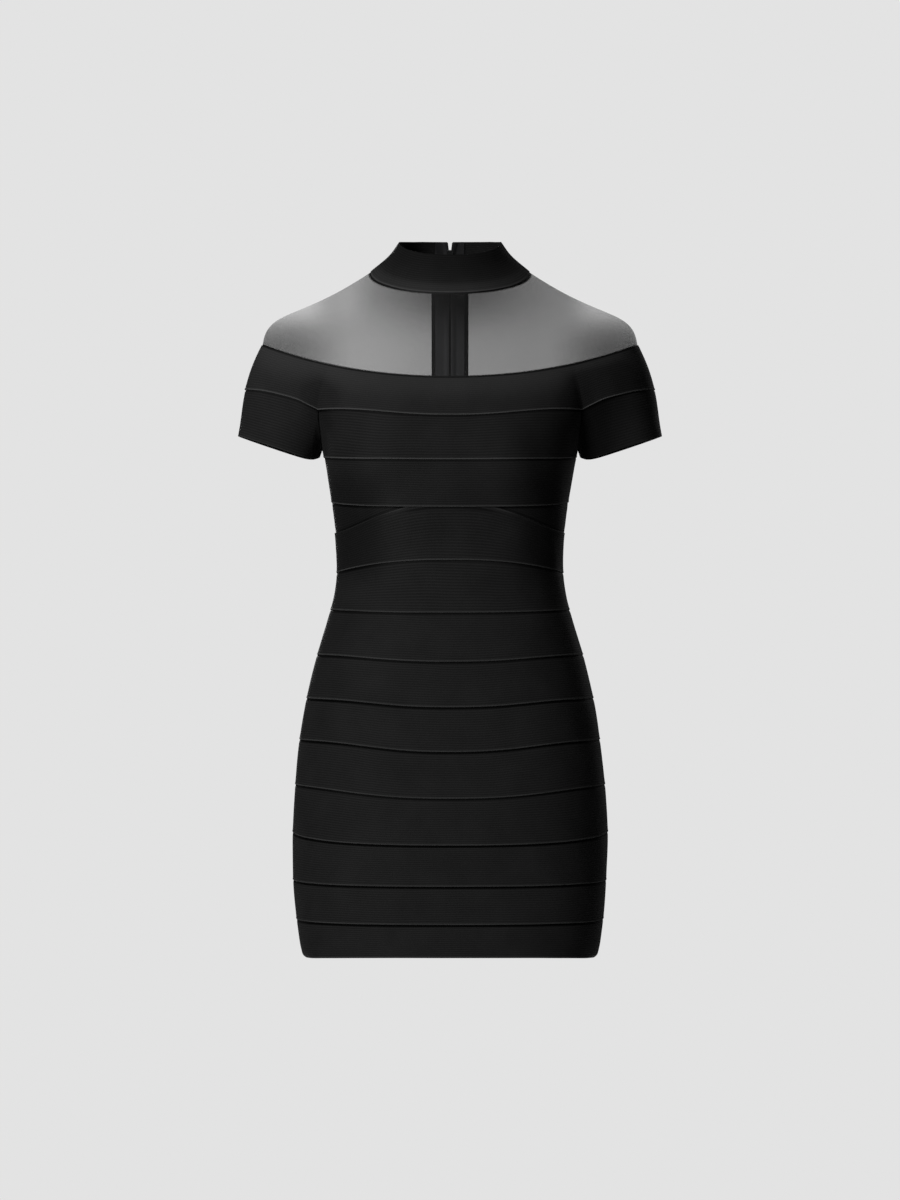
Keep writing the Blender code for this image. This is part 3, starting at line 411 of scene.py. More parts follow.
# The sleeve: where it comes free of the armhole, its slack, the painted shade in its upper seam
# and the painted highlight on its hem.
SLEEVE_FREE = dict(least=0.12, turn=2.5, loose=6.0)
SLEEVE_WAVE = dict(out=0.25, round=17.0, down=9.0, start=12.0)
SLEEVE_TONE = dict(seam=-0.45, hem=0.15)
# Painted shade by the armpit, more of it on the left: (share, from which x, fading over).
ARM_SHADE = {1: (0.8, 168.0, 50.0), -1: (0.5, 138.0, 34.0)}


def power(base, exponent):
    """A power that keeps the sign."""
    return np.sign(base) * np.abs(base) ** exponent


def ease(share):
    """From 0 to 1 with a soft start and end."""
    share = np.clip(share, 0.0, 1.0)
    return share * share * (3 - 2 * share)


def curve(table, key, value):
    """A smooth curve through the table's points, as a function that reads arrays."""
    rows = sorted(table, key=lambda row: row[key])
    at = np.array([row[key] for row in rows])
    level = np.array([row[value] for row in rows])
    low = np.maximum(np.arange(len(at)) - 1, 0)
    high = np.minimum(np.arange(len(at)) + 1, len(at) - 1)
    slope = (level[high] - level[low]) / (at[high] - at[low])

    def read(where):
        where = np.clip(where, at[0], at[-1])
        i = np.clip(np.searchsorted(at, where, side="right") - 1, 0, len(at) - 2)
        span = at[i + 1] - at[i]
        u = (where - at[i]) / span
        return (level[i] * (2 * u**3 - 3 * u**2 + 1) + slope[i] * span * (u**3 - 2 * u**2 + u)
                + level[i + 1] * (3 * u**2 - 2 * u**3) + slope[i + 1] * span * (u**3 - u**2))

    return read


BODY_AT = {key: curve(BODY, "z", key) for key in ("half", "front", "back")}
COLLAR_AT = {key: curve(COLLAR, "part", key)
             for key in ("half", "side_z", "front", "front_z", "back", "back_z")}
CHEST_ANGLE = curve(CHEST_STATIONS, "neck", "angle")
ARMHOLE_HEM_AT = curve(ARMHOLE_HEM, "off", "hem")


def stack(x, y, z):
    return np.stack(np.broadcast_arrays(x, y, z), axis=-1).astype(float)


def oval(half, front, back, square, angle):
    """A squared oval. Angles run from the middle of the front (0) to that of the back (180)."""
    turn = np.radians(angle)
    across, along = np.sin(turn), np.cos(turn)
    depth = np.where(along > 0, front, back)
    return half * power(across, 2 / square), -depth * power(along, 2 / square)


def back_reach(half, square, x):
    """Degrees from the centre back at which a squared oval passes x."""
    return np.degrees(np.arcsin(np.minimum(np.abs(x) / half, 1.0) ** (square / 2)))


# Three slow waves leave the cloth a little uneven, as worn knit is: how far each moves it out,
# how many go round the body, how they climb, and where they start.
WAVES = ((0.24, 5.0, 0.031, 0.4), (0.18, 9.0, -0.047, 2.1), (0.10, 17.0, 0.083, 4.4))


def unevenness(angle, z):
    """How far the waves move the cloth out here."""
    turn = np.radians(angle)
    total = 0.0
    for out, turns, rise, start in WAVES:
        total = total + out * np.sin(turns * turn + rise * z + start)
    return total


def body(angle, z):
    """Body surface as the solids have it."""
    x, y = oval(BODY_AT["half"](z), BODY_AT["front"](z), BODY_AT["back"](z), SQUARE, angle)
    across = np.exp(-(((np.abs(x) - BUST["x"]) / BUST["wide"]) ** 2))
    bust = BUST["out"] * across * np.exp(-(((z - BUST["z"]) / BUST["high"]) ** 2))
    return stack(x, y - bust * ease((90.0 - np.abs(angle)) / 8.0), z)


def seam(name, angle):
    """A seam's height, by the angle from the middle of the front."""
    row = SEAMS[name]
    turn = np.cos(np.radians(angle))
    end = np.where(turn > 0, row["front"], row["back"])
    e = SEAM_TURN**2
    bottom = e ** (row["turn"] / 2)
    share = ((turn**2 + e) ** (row["turn"] / 2) - bottom) / ((1 + e) ** (row["turn"] / 2) - bottom)
    return row["side"] + (end - row["side"]) * share


def ring(edge):
    """Columns round the body, from the centre back over the left, the front and the right."""
    u = np.linspace(0.0, 1.0, HALF_COLUMNS + 1)
    spread = 90.0 * u**CROWDED / (u**CROWDED + (1 - u) ** CROWDED)
    far = spread[spread > BESIDE_ANGLE + ANGLE_CLEAR]
    beside = BESIDE / BESIDE[-1]
    left = np.concatenate([180 - BESIDE_ANGLE * beside, 180 - far, spread[-2::-1]])
    share = np.concatenate([beside, np.full(len(left) - len(beside), np.nan)])
    return dict(angle=np.concatenate([left, -left[-2::-1]]),
                share=np.concatenate([share, share[-2::-1]]), edge=edge)


def body_ring(columns, z):
    """Body surface in a ring's columns; beside the centre back these run parallel to it."""
    half = BODY_AT["half"](z)
    reach = half * math.sin(math.radians(BESIDE_ANGLE)) ** (2 / SQUARE)
    share = np.nan_to_num(columns["share"])
    x = columns["edge"] + (reach - columns["edge"]) * share
    near = 180 - back_reach(half, SQUARE, x)
    angle = np.where(np.isnan(columns["share"]), columns["angle"],
                     np.sign(columns["angle"]) * near)
    return body(angle, z)


def from_edge(columns):
    """Millimetres from each column to the free edge at the centre back."""
    share = columns["share"]
    return np.where(np.isnan(share), FAR, np.nan_to_num(share) * BESIDE[-1])


# ---- shells of cloth -------------------------------------------------------------------------


def rim(distance, half=RIM):
    """Share of the thickness at this distance from an edge: the edge is round."""
    near = 1 - np.clip(distance / half, 0.0, 1.0)
    return np.sqrt(np.clip(1 - near * near, 0.0, 1.0))


def unit(vectors):
    return vectors / np.maximum(np.linalg.norm(vectors, axis=-1, keepdims=True), 1e-9)


def grid_normals(points, closed):
    if closed:
        across = np.roll(points, -1, axis=1) - np.roll(points, 1, axis=1)
    else:
        across = np.gradient(points, axis=1)
    return unit(np.cross(across, np.gradient(points, axis=0)))


def new_piece(name, vertices, faces):
    data = bpy.data.meshes.new(name)
    data.from_pydata(vertices, [], faces)
    made = bpy.data.objects.new(name, data)
    bpy.context.scene.collection.objects.link(made)
    return made


def shell(name, points, layer, outer, inner, fold, closed=False, normals=None, plain=False):
    """A closed thin shell on a grid of middle points; rows run down, columns clockwise from
    above. layer, outer and inner are arrays: how far the middle line moves out, and how far the
    faces lie from it. They are 0 along free edges, where both faces share their points. fold is
    for the material: on the knit a painted highlight above 0 and painted shade below it, on the
    net the threads' cover with painted shade in it, on the tape painted shade. The ribs follow
    both edges, or only the lower one where plain is set."""
    rows, columns = points.shape[:2]
    if normals is None:
        normals = grid_normals(points, closed)
    shape = (rows, columns)
    layer, outer, inner = (np.broadcast_to(a, shape)[..., None] for a in (layer, outer, inner))
    middle = points + normals * layer
    out, inn = middle + normals * outer, middle - normals * inner
    out_id = np.arange(rows * columns).reshape(shape)
    inn_id = out_id.copy()
    inside = (slice(1, -1), slice(None) if closed else slice(1, -1))
    count = inn_id[inside].size
    inn_id[inside] = rows * columns + np.arange(count).reshape(inn_id[inside].shape)
    rim_line = (out + inn) / 2
    edge = np.ones(shape, bool)
    edge[inside] = False
    out = np.where(edge[..., None], rim_line, out)
    vertices = np.concatenate([out.reshape(-1, 3), inn[inside].reshape(-1, 3)]) * METRE

    down = np.linalg.norm(np.diff(middle, axis=0), axis=-1)
    height = np.concatenate([np.cumsum(down[::-1], axis=0)[::-1], np.zeros((1, columns))])
    total = np.maximum(height[:1], 1.0)
    level = height if plain else height / total * total.mean()
    wrapped = np.concatenate([middle, middle[:, :1]], axis=1) if closed else middle
    steps = np.linalg.norm(np.diff(wrapped, axis=1), axis=-1)
    along = np.concatenate([[0.0], np.cumsum(steps[rows // 2])])

    last = columns if closed else columns - 1
    r, c = np.meshgrid(np.arange(rows - 1), np.arange(last), indexing="ij")
    r, c = r.ravel(), c.ravel()
    n = (c + 1) % columns
    faces, spots = [], []
    for ids, order in ((out_id, 1), (inn_id, -1)):
        corners = [(r, c, c), (r + 1, c, c), (r + 1, n, c + 1), (r, n, c + 1)][::order]
        faces.append(np.stack([ids[a, b] for a, b, _ in corners], axis=1))
        spots.append(np.stack([np.stack([along[d], level[a, b]], axis=-1)
                               for a, b, d in corners], axis=1))
    faces, spots = np.concatenate(faces), np.concatenate(spots) * METRE

    made = new_piece(name, vertices.tolist(), faces.tolist())
    data = made.data
    data.uv_layers.new(name="cloth").data.foreach_set("uv", spots.ravel())
    fold = np.broadcast_to(fold, shape)
    values = np.concatenate([fold.ravel(), fold[inside].ravel()])
    data.attributes.new("fold", "FLOAT", "POINT").data.foreach_set("value", values)
    data.update()
    data.shade_smooth()
    return made


def band_rows(top, bottom):
    """Heights of a band's rows in each column, and each row's distance from both edges."""
    span = top - bottom
    scale = np.minimum(1.0, span / FULL_SPAN)
    head = np.array(HEAD_ROWS)[:, None] * scale
    foot = np.array(FOOT_ROWS)[:, None] * scale
    share = np.arange(1, MIDDLE_ROWS + 1)[:, None] / (MIDDLE_ROWS + 1)
    first, last = head[-1], span - foot[0]
    down = np.concatenate([head, first + (last - first) * share, span - foot])
    return top - down, down, span - down


def tuck(from_top, groove):
    """A band's upper edge lies behind the band above, and comes forward below it."""
    return TUCK * (1 - ease((from_top - LAP) / groove))


def lift(from_bottom):
    """Its lower edge comes forward, over the band below."""
    return LIFT["out"] * np.clip(1 - from_bottom / LIFT["high"], 0.0, 1.0) ** LIFT["bend"]


def bead(from_bottom):
    """The linked fold's height above the knit."""
    near = np.clip(np.abs(from_bottom - BEAD["middle"]) / BEAD["half"], 0.0, 1.0)
    return BEAD["out"] * np.cos(near * math.pi / 2) ** 1.5


def crease(from_fold):
    """The shade in the crease under a fold, from the fold's edge down."""
    row = CREASE_LINE
    return ((1 - ease((from_fold - row["end"]) / row["fade"]))
            * ease((from_fold - row["start"]) / row["grow"]))


def relief(angle):
    """Share of a seam's relief: the body fills the cloth out more at the sides."""
    row = SIDE_RELIEF
    return 1 - row["less"] * ease((off_middle(angle) - row["start"]) / row["fade"])


def off_middle(angle):
    """Degrees from the middle of the front or back."""
    return 90 - np.abs(90 - np.abs(angle))


def side_shade(angle, z):
    """Painted shade: darker towards the sides, and darker still at the sides of the waist."""
    off, row, side = off_middle(angle), WAIST_SHADE, SIDE_SHADE
    waist = ease((z - row["low"]) / row["fade"]) * ease((row["high"] - z) / row["fade"])
    return (side["share"] * ease((off - side["start"]) / side["fade"])
            + row["share"] * waist * ease((off - row["start"]) / row["turn"]))


def side_roll(beside, edge):
    """Beside the zip the fold is plain; below it the closed seam dips between both edges."""
    if edge != SEAM_EDGE:
        return 0.0
    return -BACK_DIP["depth"] * np.exp(-((beside / BACK_DIP["half"]) ** 2))


def dress(piece, node_name, look, body="dress"):
    """Gives a piece its material and its body, and hides the solid that it stands for."""
    piece.data.materials.append(look)
    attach(piece, body)
    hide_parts(node_name)
    return piece


# ---- materials -------------------------------------------------------------------------------

RIB = 0.0026          # the knit's ribs are 1.3 mm apart; drawn at twice that, so that they show
WALE = 0.0016         # its stitches across, 0.8 mm apart; drawn at twice that as well
STITCH = 0.0024       # linking stitches along a fold
KNIT_SHINE = 0.02     # the knit's specular level: matt yarn, so that creases stay dark
MESH = 0.0022         # the net's holes are under 1 mm apart; drawn coarser, so that they show
TWILL = 0.0012        # the tape's ribs
KNIT_DARK, KNIT_LIGHT = "#1c1c1c", "#272727"
# A painted highlight for the folds, and painted shade for creases and other shaded places.
FOLD_HIGHLIGHT, PAINTED_SHADE = "#525252", "#030303"
NET_THREAD, NET_DOUBLED = "#181818", "#080808"
# The tape painted lit, and painted in shade where the knit covers it.
TAPE_LIT, TAPE_SHADED = "#6a6a6c", "#1d1d1e"
COIL_BLACK, ENAMEL_BLACK = "#090909", "#151516"


def wave(tree, source, period):
    """A sine of a coordinate with this period."""
    scaled = node(tree, "ShaderNodeMath", [(0, source)], operation="MULTIPLY",
                  in_1=2 * math.pi / period)
    return node(tree, "ShaderNodeMath", [(0, scaled.outputs[0])], operation="SINE")


def cloth_place(tree):
    """A place on the cloth, in metres: X along its ribs and Y up from its lower edge."""
    uv = node(tree, "ShaderNodeUVMap", uv_map="cloth")
    return node(tree, "ShaderNodeSeparateXYZ", [(0, uv.outputs[0])])


def bandage_knit():
    """Rayon bandage knit: fine even ribs along each band, matt with a faint silky sheen."""
    made, tree = new_material("bandage_knit")
    split = cloth_place(tree)
    place = node(tree, "ShaderNodeTexCoord")
    # The ribs drift a little along a band, as those of knit that is pulled do.
    drift = node(tree, "ShaderNodeTexNoise", [("Vector", place.outputs["Object"])],
                 in_Scale=11.0, in_Detail=1.0)
    level = node(tree, "ShaderNodeMath", [(0, drift.outputs["Fac"]), (2, split.outputs["Y"])],
                 operation="MULTIPLY_ADD", in_1=0.006)
    ribs = wave(tree, level.outputs[0], RIB)
    wales = wave(tree, split.outputs["X"], WALE)
    # The yarn's fibres, and slow patches of tone.
    yarn = node(tree, "ShaderNodeTexNoise", [("Vector", place.outputs["Object"])],
                in_Scale=700.0, in_Detail=3.0, in_Roughness=0.6)
    patch = node(tree, "ShaderNodeTexNoise", [("Vector", place.outputs["Object"])],
                 in_Scale=26.0, in_Detail=3.0, in_Roughness=0.55)
    # fold is above 0 on a fold, which is stitched and has a painted highlight, and below 0 where
    # painted shade lies: in a crease, at the sides, by the arms and on the collar.
    fold = node(tree, "ShaderNodeAttribute", attribute_name="fold")
    stitches = wave(tree, split.outputs["X"], STITCH)
    stitched = node(tree, "ShaderNodeMath", [(0, stitches.outputs[0]), (1, fold.outputs["Fac"])],
                    operation="MULTIPLY")
    knitted = node(tree, "ShaderNodeMath", [(0, wales.outputs[0]), (2, ribs.outputs[0])],
                   operation="MULTIPLY_ADD", in_1=0.22)
    fibres = node(tree, "ShaderNodeMath", [(0, yarn.outputs["Fac"]), (2, knitted.outputs[0])],
                  operation="MULTIPLY_ADD", in_1=1.1)
    total = node(tree, "ShaderNodeMath", [(0, stitched.outputs[0]), (2, fibres.outputs[0])],
                 operation="MULTIPLY_ADD", in_1=0.9)
    bump = node(tree, "ShaderNodeBump", [("Height", total.outputs[0])],
                in_Strength=0.4, in_Distance=0.0002)
    tone = node(tree, "ShaderNodeMath", [(0, ribs.outputs[0]), (2, patch.outputs["Fac"])],
                operation="MULTIPLY_ADD", in_1=0.4)
    ramp = node(tree, "ShaderNodeValToRGB", [("Fac", tone.outputs[0])])
    ramp.color_ramp.elements[0].position, ramp.color_ramp.elements[1].position = 0.0, 1.0
    ramp.color_ramp.elements[0].color = linear(KNIT_DARK)
    ramp.color_ramp.elements[1].color = linear(KNIT_LIGHT)
    # Painted highlight where fold is above 0, and painted shade where it is below 0.
    edge = node(tree, "ShaderNodeMix", [(0, fold.outputs["Fac"]), (6, ramp.outputs["Color"])],
                data_type="RGBA", in_7=linear(FOLD_HIGHLIGHT))
    under = node(tree, "ShaderNodeMath", [(0, fold.outputs["Fac"])], operation="MULTIPLY",
                 use_clamp=True, in_1=-1.0)
    shade = node(tree, "ShaderNodeMix", [(0, under.outputs[0]), (6, edge.outputs[2])],
                 data_type="RGBA", in_7=linear(PAINTED_SHADE))
    shader = node(tree, "ShaderNodeBsdfPrincipled",
                  [("Base Color", shade.outputs[2]), ("Normal", bump.outputs[0])],
                  in_Roughness=0.72)
    shader.inputs["Specular IOR Level"].default_value = KNIT_SHINE
    shader.inputs["Sheen Weight"].default_value = 0.02
    shader.inputs["Sheen Roughness"].default_value = 0.45
    node(tree, "ShaderNodeOutputMaterial", [("Surface", shader.outputs[0])])
    return made


def stretch_net():
    """Nylon stretch net: too fine to count its holes, so it only greys what is behind it."""
    made, tree = new_material("stretch_net")
    split = cloth_place(tree)
    # On the net, fold is the share of its face that the threads cover, with painted shade in it.
    dense = node(tree, "ShaderNodeAttribute", attribute_name="fold")
    slope = node(tree, "ShaderNodeMath", [(0, split.outputs["X"]), (1, split.outputs["Y"])],
                 operation="ADD")
    other = node(tree, "ShaderNodeMath", [(0, split.outputs["X"]), (1, split.outputs["Y"])],
                 operation="SUBTRACT")
    one, two = wave(tree, slope.outputs[0], MESH), wave(tree, other.outputs[0], MESH)
    holes = node(tree, "ShaderNodeMath", [(0, one.outputs[0]), (1, two.outputs[0])],
                 operation="MULTIPLY")
    alpha = node(tree, "ShaderNodeMath", [(0, holes.outputs[0]), (2, dense.outputs["Fac"])],
                 operation="MULTIPLY_ADD", in_1=0.04)
    bump = node(tree, "ShaderNodeBump", [("Height", holes.outputs[0])],
                in_Strength=0.3, in_Distance=0.0001)
    doubled = node(tree, "ShaderNodeMapRange", [("Value", dense.outputs["Fac"])],
                   interpolation_type="SMOOTHSTEP", in_1=0.7, in_2=0.9)
    colour = node(tree, "ShaderNodeMix", [(0, doubled.outputs[0])], data_type="RGBA",
                  in_6=linear(NET_THREAD), in_7=linear(NET_DOUBLED))
    shader = node(tree, "ShaderNodeBsdfPrincipled",
                  [("Base Color", colour.outputs[2]), ("Alpha", alpha.outputs[0]),
                   ("Normal", bump.outputs[0])], in_Roughness=0.6)
    shader.inputs["Specular IOR Level"].default_value = 0.3
    node(tree, "ShaderNodeOutputMaterial", [("Surface", shader.outputs[0])])
    return made


def woven_tape():
    """Polyester zip tape: a close twill with a slight shine."""
    made, tree = new_material("woven_tape")
    split = cloth_place(tree)
    slope = node(tree, "ShaderNodeMath", [(0, split.outputs["X"]), (2, split.outputs["Y"])],
                 operation="MULTIPLY_ADD", in_1=1.6)
    twill = wave(tree, slope.outputs[0], TWILL)
    bump = node(tree, "ShaderNodeBump", [("Height", twill.outputs[0])],
                in_Strength=0.5, in_Distance=0.0001)
    # On the tapes, fold is how much painted shade lies on them, up to 1 where the knit covers them.
    covered = node(tree, "ShaderNodeAttribute", attribute_name="fold")
    colour = node(tree, "ShaderNodeMix", [(0, covered.outputs["Fac"])], data_type="RGBA",
                  in_6=linear(TAPE_LIT), in_7=linear(TAPE_SHADED))
    shader = node(tree, "ShaderNodeBsdfPrincipled",
                  [("Base Color", colour.outputs[2]), ("Normal", bump.outputs[0])],
                  in_Roughness=0.6)
    shader.inputs["Specular IOR Level"].default_value = 0.25
    node(tree, "ShaderNodeOutputMaterial", [("Surface", shader.outputs[0])])
    return made


def coil_nylon():
    """Extruded nylon monofilament: smooth and half glossy."""
    made, tree = new_material("coil_nylon")
    place = node(tree, "ShaderNodeTexCoord")
    grain = node(tree, "ShaderNodeTexNoise", [("Vector", place.outputs["Object"])],
                 in_Scale=900.0, in_Detail=2.0)
    bump = node(tree, "ShaderNodeBump", [("Height", grain.outputs["Fac"])],
                in_Strength=0.15, in_Distance=0.0001)
    shader = node(tree, "ShaderNodeBsdfPrincipled", [("Normal", bump.outputs[0])],
                  in_Roughness=0.5)
    shader.inputs["Base Color"].default_value = linear(COIL_BLACK)
    shader.inputs["Specular IOR Level"].default_value = 0.18
    node(tree, "ShaderNodeOutputMaterial", [("Surface", shader.outputs[0])])
    return made


def black_enamel():
    """Baked enamel on cast zinc: an even gloss with a faint orange-peel."""
    made, tree = new_material("black_enamel")
    place = node(tree, "ShaderNodeTexCoord")
    peel = node(tree, "ShaderNodeTexNoise", [("Vector", place.outputs["Object"])],
                in_Scale=1400.0, in_Detail=2.0)
    rough = node(tree, "ShaderNodeMapRange", [("Value", peel.outputs["Fac"])],
                 in_3=0.36, in_4=0.5)
    bump = node(tree, "ShaderNodeBump", [("Height", peel.outputs["Fac"])],
                in_Strength=0.12, in_Distance=0.0001)
    shader = node(tree, "ShaderNodeBsdfPrincipled",
                  [("Roughness", rough.outputs[0]), ("Normal", bump.outputs[0])])
    shader.inputs["Base Color"].default_value = linear(ENAMEL_BLACK)
    shader.inputs["Coat Weight"].default_value = 0.15
    shader.inputs["Coat Roughness"].default_value = 0.25
    node(tree, "ShaderNodeOutputMaterial", [("Surface", shader.outputs[0])])
    return made


KNIT_LOOK, NET_LOOK, TAPE_LOOK = bandage_knit(), stretch_net(), woven_tape()
COIL_LOOK, METAL_LOOK = coil_nylon(), black_enamel()

# ---- bands round the body --------------------------------------------------------------------


def band_shell(name, columns, points, from_top, from_bottom, layer, above, below, lap=LAP,
               top_bead=0.0, shade=0.0):
    """A band's shell. top_bead is the share of a fold that its upper edge shows."""
    beside = from_edge(columns)
    rims = rim(from_top) * rim(beside)
    foot = rim(from_bottom)
    fold = bead(from_bottom) * (below != "hem")
    fold = fold + bead(from_top) * top_bead
    thinned = rim(beside, BEAD["by_zip"]) * relief(columns["angle"]) ** BEAD["at_side"]
    outer = (HALF + fold * thinned) * rims * foot
    # A painted highlight on the folds, painted shade in the crease under the band above, and
    # painted shade at the sides.
    tone = bead(from_bottom) * SEAMS[below]["light"] + bead(from_top) * top_bead * BEAD["upper"]
    tone = tone / BEAD["out"] - (1 - top_bead) * SEAMS[above]["dark"] * crease(from_top - lap)
    shade = side_shade(columns["angle"], points[..., 2]) + shade
    tone = tone - shade * (1 - bead(from_bottom) / BEAD["out"])
    return shell(name, points, layer + side_roll(beside, columns["edge"]), outer,
                 HALF * rims * foot, fold=tone)


def plain_band(row):
    """A band that runs all round, from seam to seam."""
    columns = ring(row["edge"])
    top = seam(row["above"], columns["angle"]) + LAP
    bottom = seam(row["below"], columns["angle"])
    z, from_top, from_bottom = band_rows(top, bottom)
    points = body_ring(columns, z)
    soft = relief(columns["angle"])
    layer = BASE + soft * tuck(from_top, SEAMS[row["above"]]["groove"])
    layer = layer + unevenness(columns["angle"], z)
    if row["below"] == "hem":
        curl = HEM_CURL
        side = ease((off_middle(columns["angle"]) - curl["start"]) / curl["fade"])
        near = np.clip(1 - from_bottom / curl["high"], 0.0, 1.0)
        layer = layer - curl["depth"] * side * near**2
    else:
        layer = layer + soft * lift(from_bottom)
    piece = band_shell(row["name"] + "_knit", columns, points, from_top, from_bottom, layer,
                       row["above"], row["below"])
    return dress(piece, row["name"], KNIT_LOOK)


def waist_band():
    """Band 5, whose upper edge is folded over the wedges at the sides and the back."""
    columns = ring(ZIP_EDGE)
    top, bottom = seam("wedge", columns["angle"]), seam("waist", columns["angle"])
    z, from_top, from_bottom = band_rows(top, bottom)
    points = body_ring(columns, z)
    front = np.where(np.abs(columns["angle"]) < 90, np.abs(columns["angle"]), 90.0)
    edge = np.interp(front, *zip(*WAIST_TOP))
    layer = BASE + edge * (1 - ease(from_top / WAIST_TOP_HIGH))
    layer = layer + relief(columns["angle"]) * lift(from_bottom)
    layer = layer + unevenness(columns["angle"], z)
    over = ease((front - WAIST_FOLD["start"]) / WAIST_FOLD["fade"])
    return dress(band_shell("band_05_knit", columns, points, from_top, from_bottom, layer,
                            "under_bust", "waist", top_bead=over), "band_05", KNIT_LOOK)


def wedge(side):
    """Band 4 of one side: it lies behind bands 3 and 5 and ends in a point at the front."""
    columns = ring(ZIP_EDGE)
    keep = columns["angle"] >= WEDGE_TIP
    columns = dict(angle=columns["angle"][keep], share=columns["share"][keep], edge=ZIP_EDGE)
    top = seam("under_bust", columns["angle"]) + LAP
    bottom = np.minimum(seam("wedge", columns["angle"]) - LAP, top - WEDGE_LEAST)
    z, from_top, from_bottom = band_rows(top, bottom)
    points = body_ring(columns, z)
    front = np.where(columns["angle"] < 90, columns["angle"], 90.0)
    ends = [np.interp(front, WEDGE_COLUMNS, row) for row in WEDGE_LAYERS]
    down = from_top / (from_top + from_bottom)
    span = top - bottom
    first = np.minimum(WEDGE_HEAD["high"] / span, WEDGE_HEAD["share"])
    last = 1 - np.minimum(WEDGE_FOOT["high"] / span, WEDGE_FOOT["share"])
    middle = ends[1] + (ends[2] - ends[1]) * ease((down - first) / (last - first))
    layer = BASE + ends[0] + (middle - ends[0]) * ease(down / first)
    layer = layer + (ends[3] - middle) * ease((down - last) / (1 - last))
    layer = layer + unevenness(columns["angle"], z)
    name = "band_04_left" if side > 0 else "band_04_right"
    from_point = np.abs(columns["angle"] - columns["angle"].min()) * WEDGE_RIM
    tip = np.minimum(from_edge(columns), from_point)
    if side < 0:
        points = points[:, ::-1] * MIRROR
        layer, from_top, from_bottom, tip = (a[..., ::-1] for a in
                                             (layer, from_top, from_bottom, tip))
    thick = HALF * rim(from_top) * rim(from_bottom) * rim(tip)
    # Painted shade in the creases along both edges, and at the sides.
    tone = (-SEAMS["under_bust"]["dark"] * crease(from_top - LAP)
            - SEAMS["wedge"]["dark"] * crease(from_bottom - LAP))
    tone = tone - side_shade(columns["angle"][::side], points[..., 2])
    piece = shell(name + "_knit", points, layer, thick, thick, plain=True, fold=tone)
    return dress(piece, name, KNIT_LOOK)


# ---- the neckline: stations of band 1, the yoke, the sleeves and the collar --------------------


def neck_turn(neck):
    """Degrees from the middle for a place on the neckline."""
    return np.degrees(np.arcsin(np.minimum(neck / NECKLINE["half"], 1.0)
                                ** (NECKLINE["square"] / 2)))


def neckline(neck, front):
    """Where the net meets band 1, on the wearer's left."""
    row = NECKLINE
    share = np.clip(1 - (neck / row["half"]) ** row["square"], 0.0, 1.0) ** (1 / row["square"])
    depth, end = (row["front"], row["front_z"]) if front else (row["back"], row["back_z"])
    z = row["side_z"] + (end - row["side_z"]) * share ** row["turn"]
    return stack(neck, -depth * share if front else depth * share, z)


CREASE_NECK = CHEST_STATIONS[-1]["neck"]
CREASE_TURN = float(neck_turn(CREASE_NECK))


def arm_table():
    """The sleeve seam over the arm, from the front crease (turn 38.5) to the back one (141.5)."""
    level = SEAMS["chest"]["side"]
    front, back = body(CREASE, level), body(180 - CREASE, level)
    rows = [dict(turn=CREASE_TURN, x=front[0], y=front[1], z=level, hem=CREASE_HEM_ANGLE)]
    for row in ARM_STATIONS:
        turn = float(neck_turn(row["neck"]))
        rows.append(dict(turn=turn, x=row["x"], y=-row["depth"], z=row["z"],
                         hem=row["hem_angle"]))
        if row["depth"] > 0:
            rows.append(dict(turn=180 - turn, x=row["x"], y=row["depth"] * BACK_ARM,
                             z=row["z"], hem=-row["hem_angle"]))
    rows.append(dict(turn=180 - CREASE_TURN, x=back[0], y=back[1], z=level,
                     hem=-CREASE_HEM_ANGLE))
    return rows


ARM_AT = {key: curve(arm_table(), "turn", key) for key in ("x", "y", "z", "hem")}


def arm_low(turn, front):
    """Band 1's lower edge over the arm."""
    at = turn if front else 180 - turn
    return stack(ARM_AT["x"](at), ARM_AT["y"](at), ARM_AT["z"](at))


def arm_necks():
    """Places on the neckline over the arm, from the crease to the top of the shoulder."""
    turn = np.linspace(CREASE_TURN, 90.0, ARM_COLUMNS)[1:]
    return NECKLINE["half"] * np.sin(np.radians(turn)) ** (2 / NECKLINE["square"])


def quarter(front, edge=None):
    """Stations of one quarter on the wearer's left, from the middle to the outer arm."""
    chest = np.linspace(0.0, CREASE_NECK, CHEST_COLUMNS)
    share = np.full(len(chest), np.nan)
    if edge is not None:
        beside = BESIDE / BESIDE[-1]
        far = chest[chest > BESIDE_NECK + NECK_CLEAR]
        chest = np.concatenate([edge + (BESIDE_NECK - edge) * beside, far])
        share = np.concatenate([beside, np.full(len(far), np.nan)])
    angle = CHEST_ANGLE(chest)
    angle = np.where(np.isnan(share), angle, BESIDE_ANGLE * np.nan_to_num(share))
    if front:
        low = body(angle, seam("chest", angle))
    else:
        columns = dict(angle=180 - angle, share=share, edge=edge or 0.0)
        low = body_ring(columns, seam("chest", 180 - angle))
    arms = arm_necks()
    neck = np.concatenate([chest, arms])
    turn = neck_turn(neck)
    low = np.concatenate([low, arm_low(turn[len(chest):], front)])
    return dict(high=neckline(neck, front), low=low, turn=turn if front else 180 - turn,
                share=np.concatenate([share, np.full(len(arms), np.nan)]),
                edge=edge or 0.0, neck=neck)


def flipped(at):
    """The same stations on the wearer's right, in the opposite order."""
    return dict(high=at["high"][::-1] * MIRROR, low=at["low"][::-1] * MIRROR,
                turn=-at["turn"][::-1], share=at["share"][::-1], edge=at["edge"],
                neck=at["neck"][::-1])


def picked(at, part):
    """Some of the stations."""
    return {key: (value[part] if isinstance(value, np.ndarray) else value)
            for key, value in at.items()}


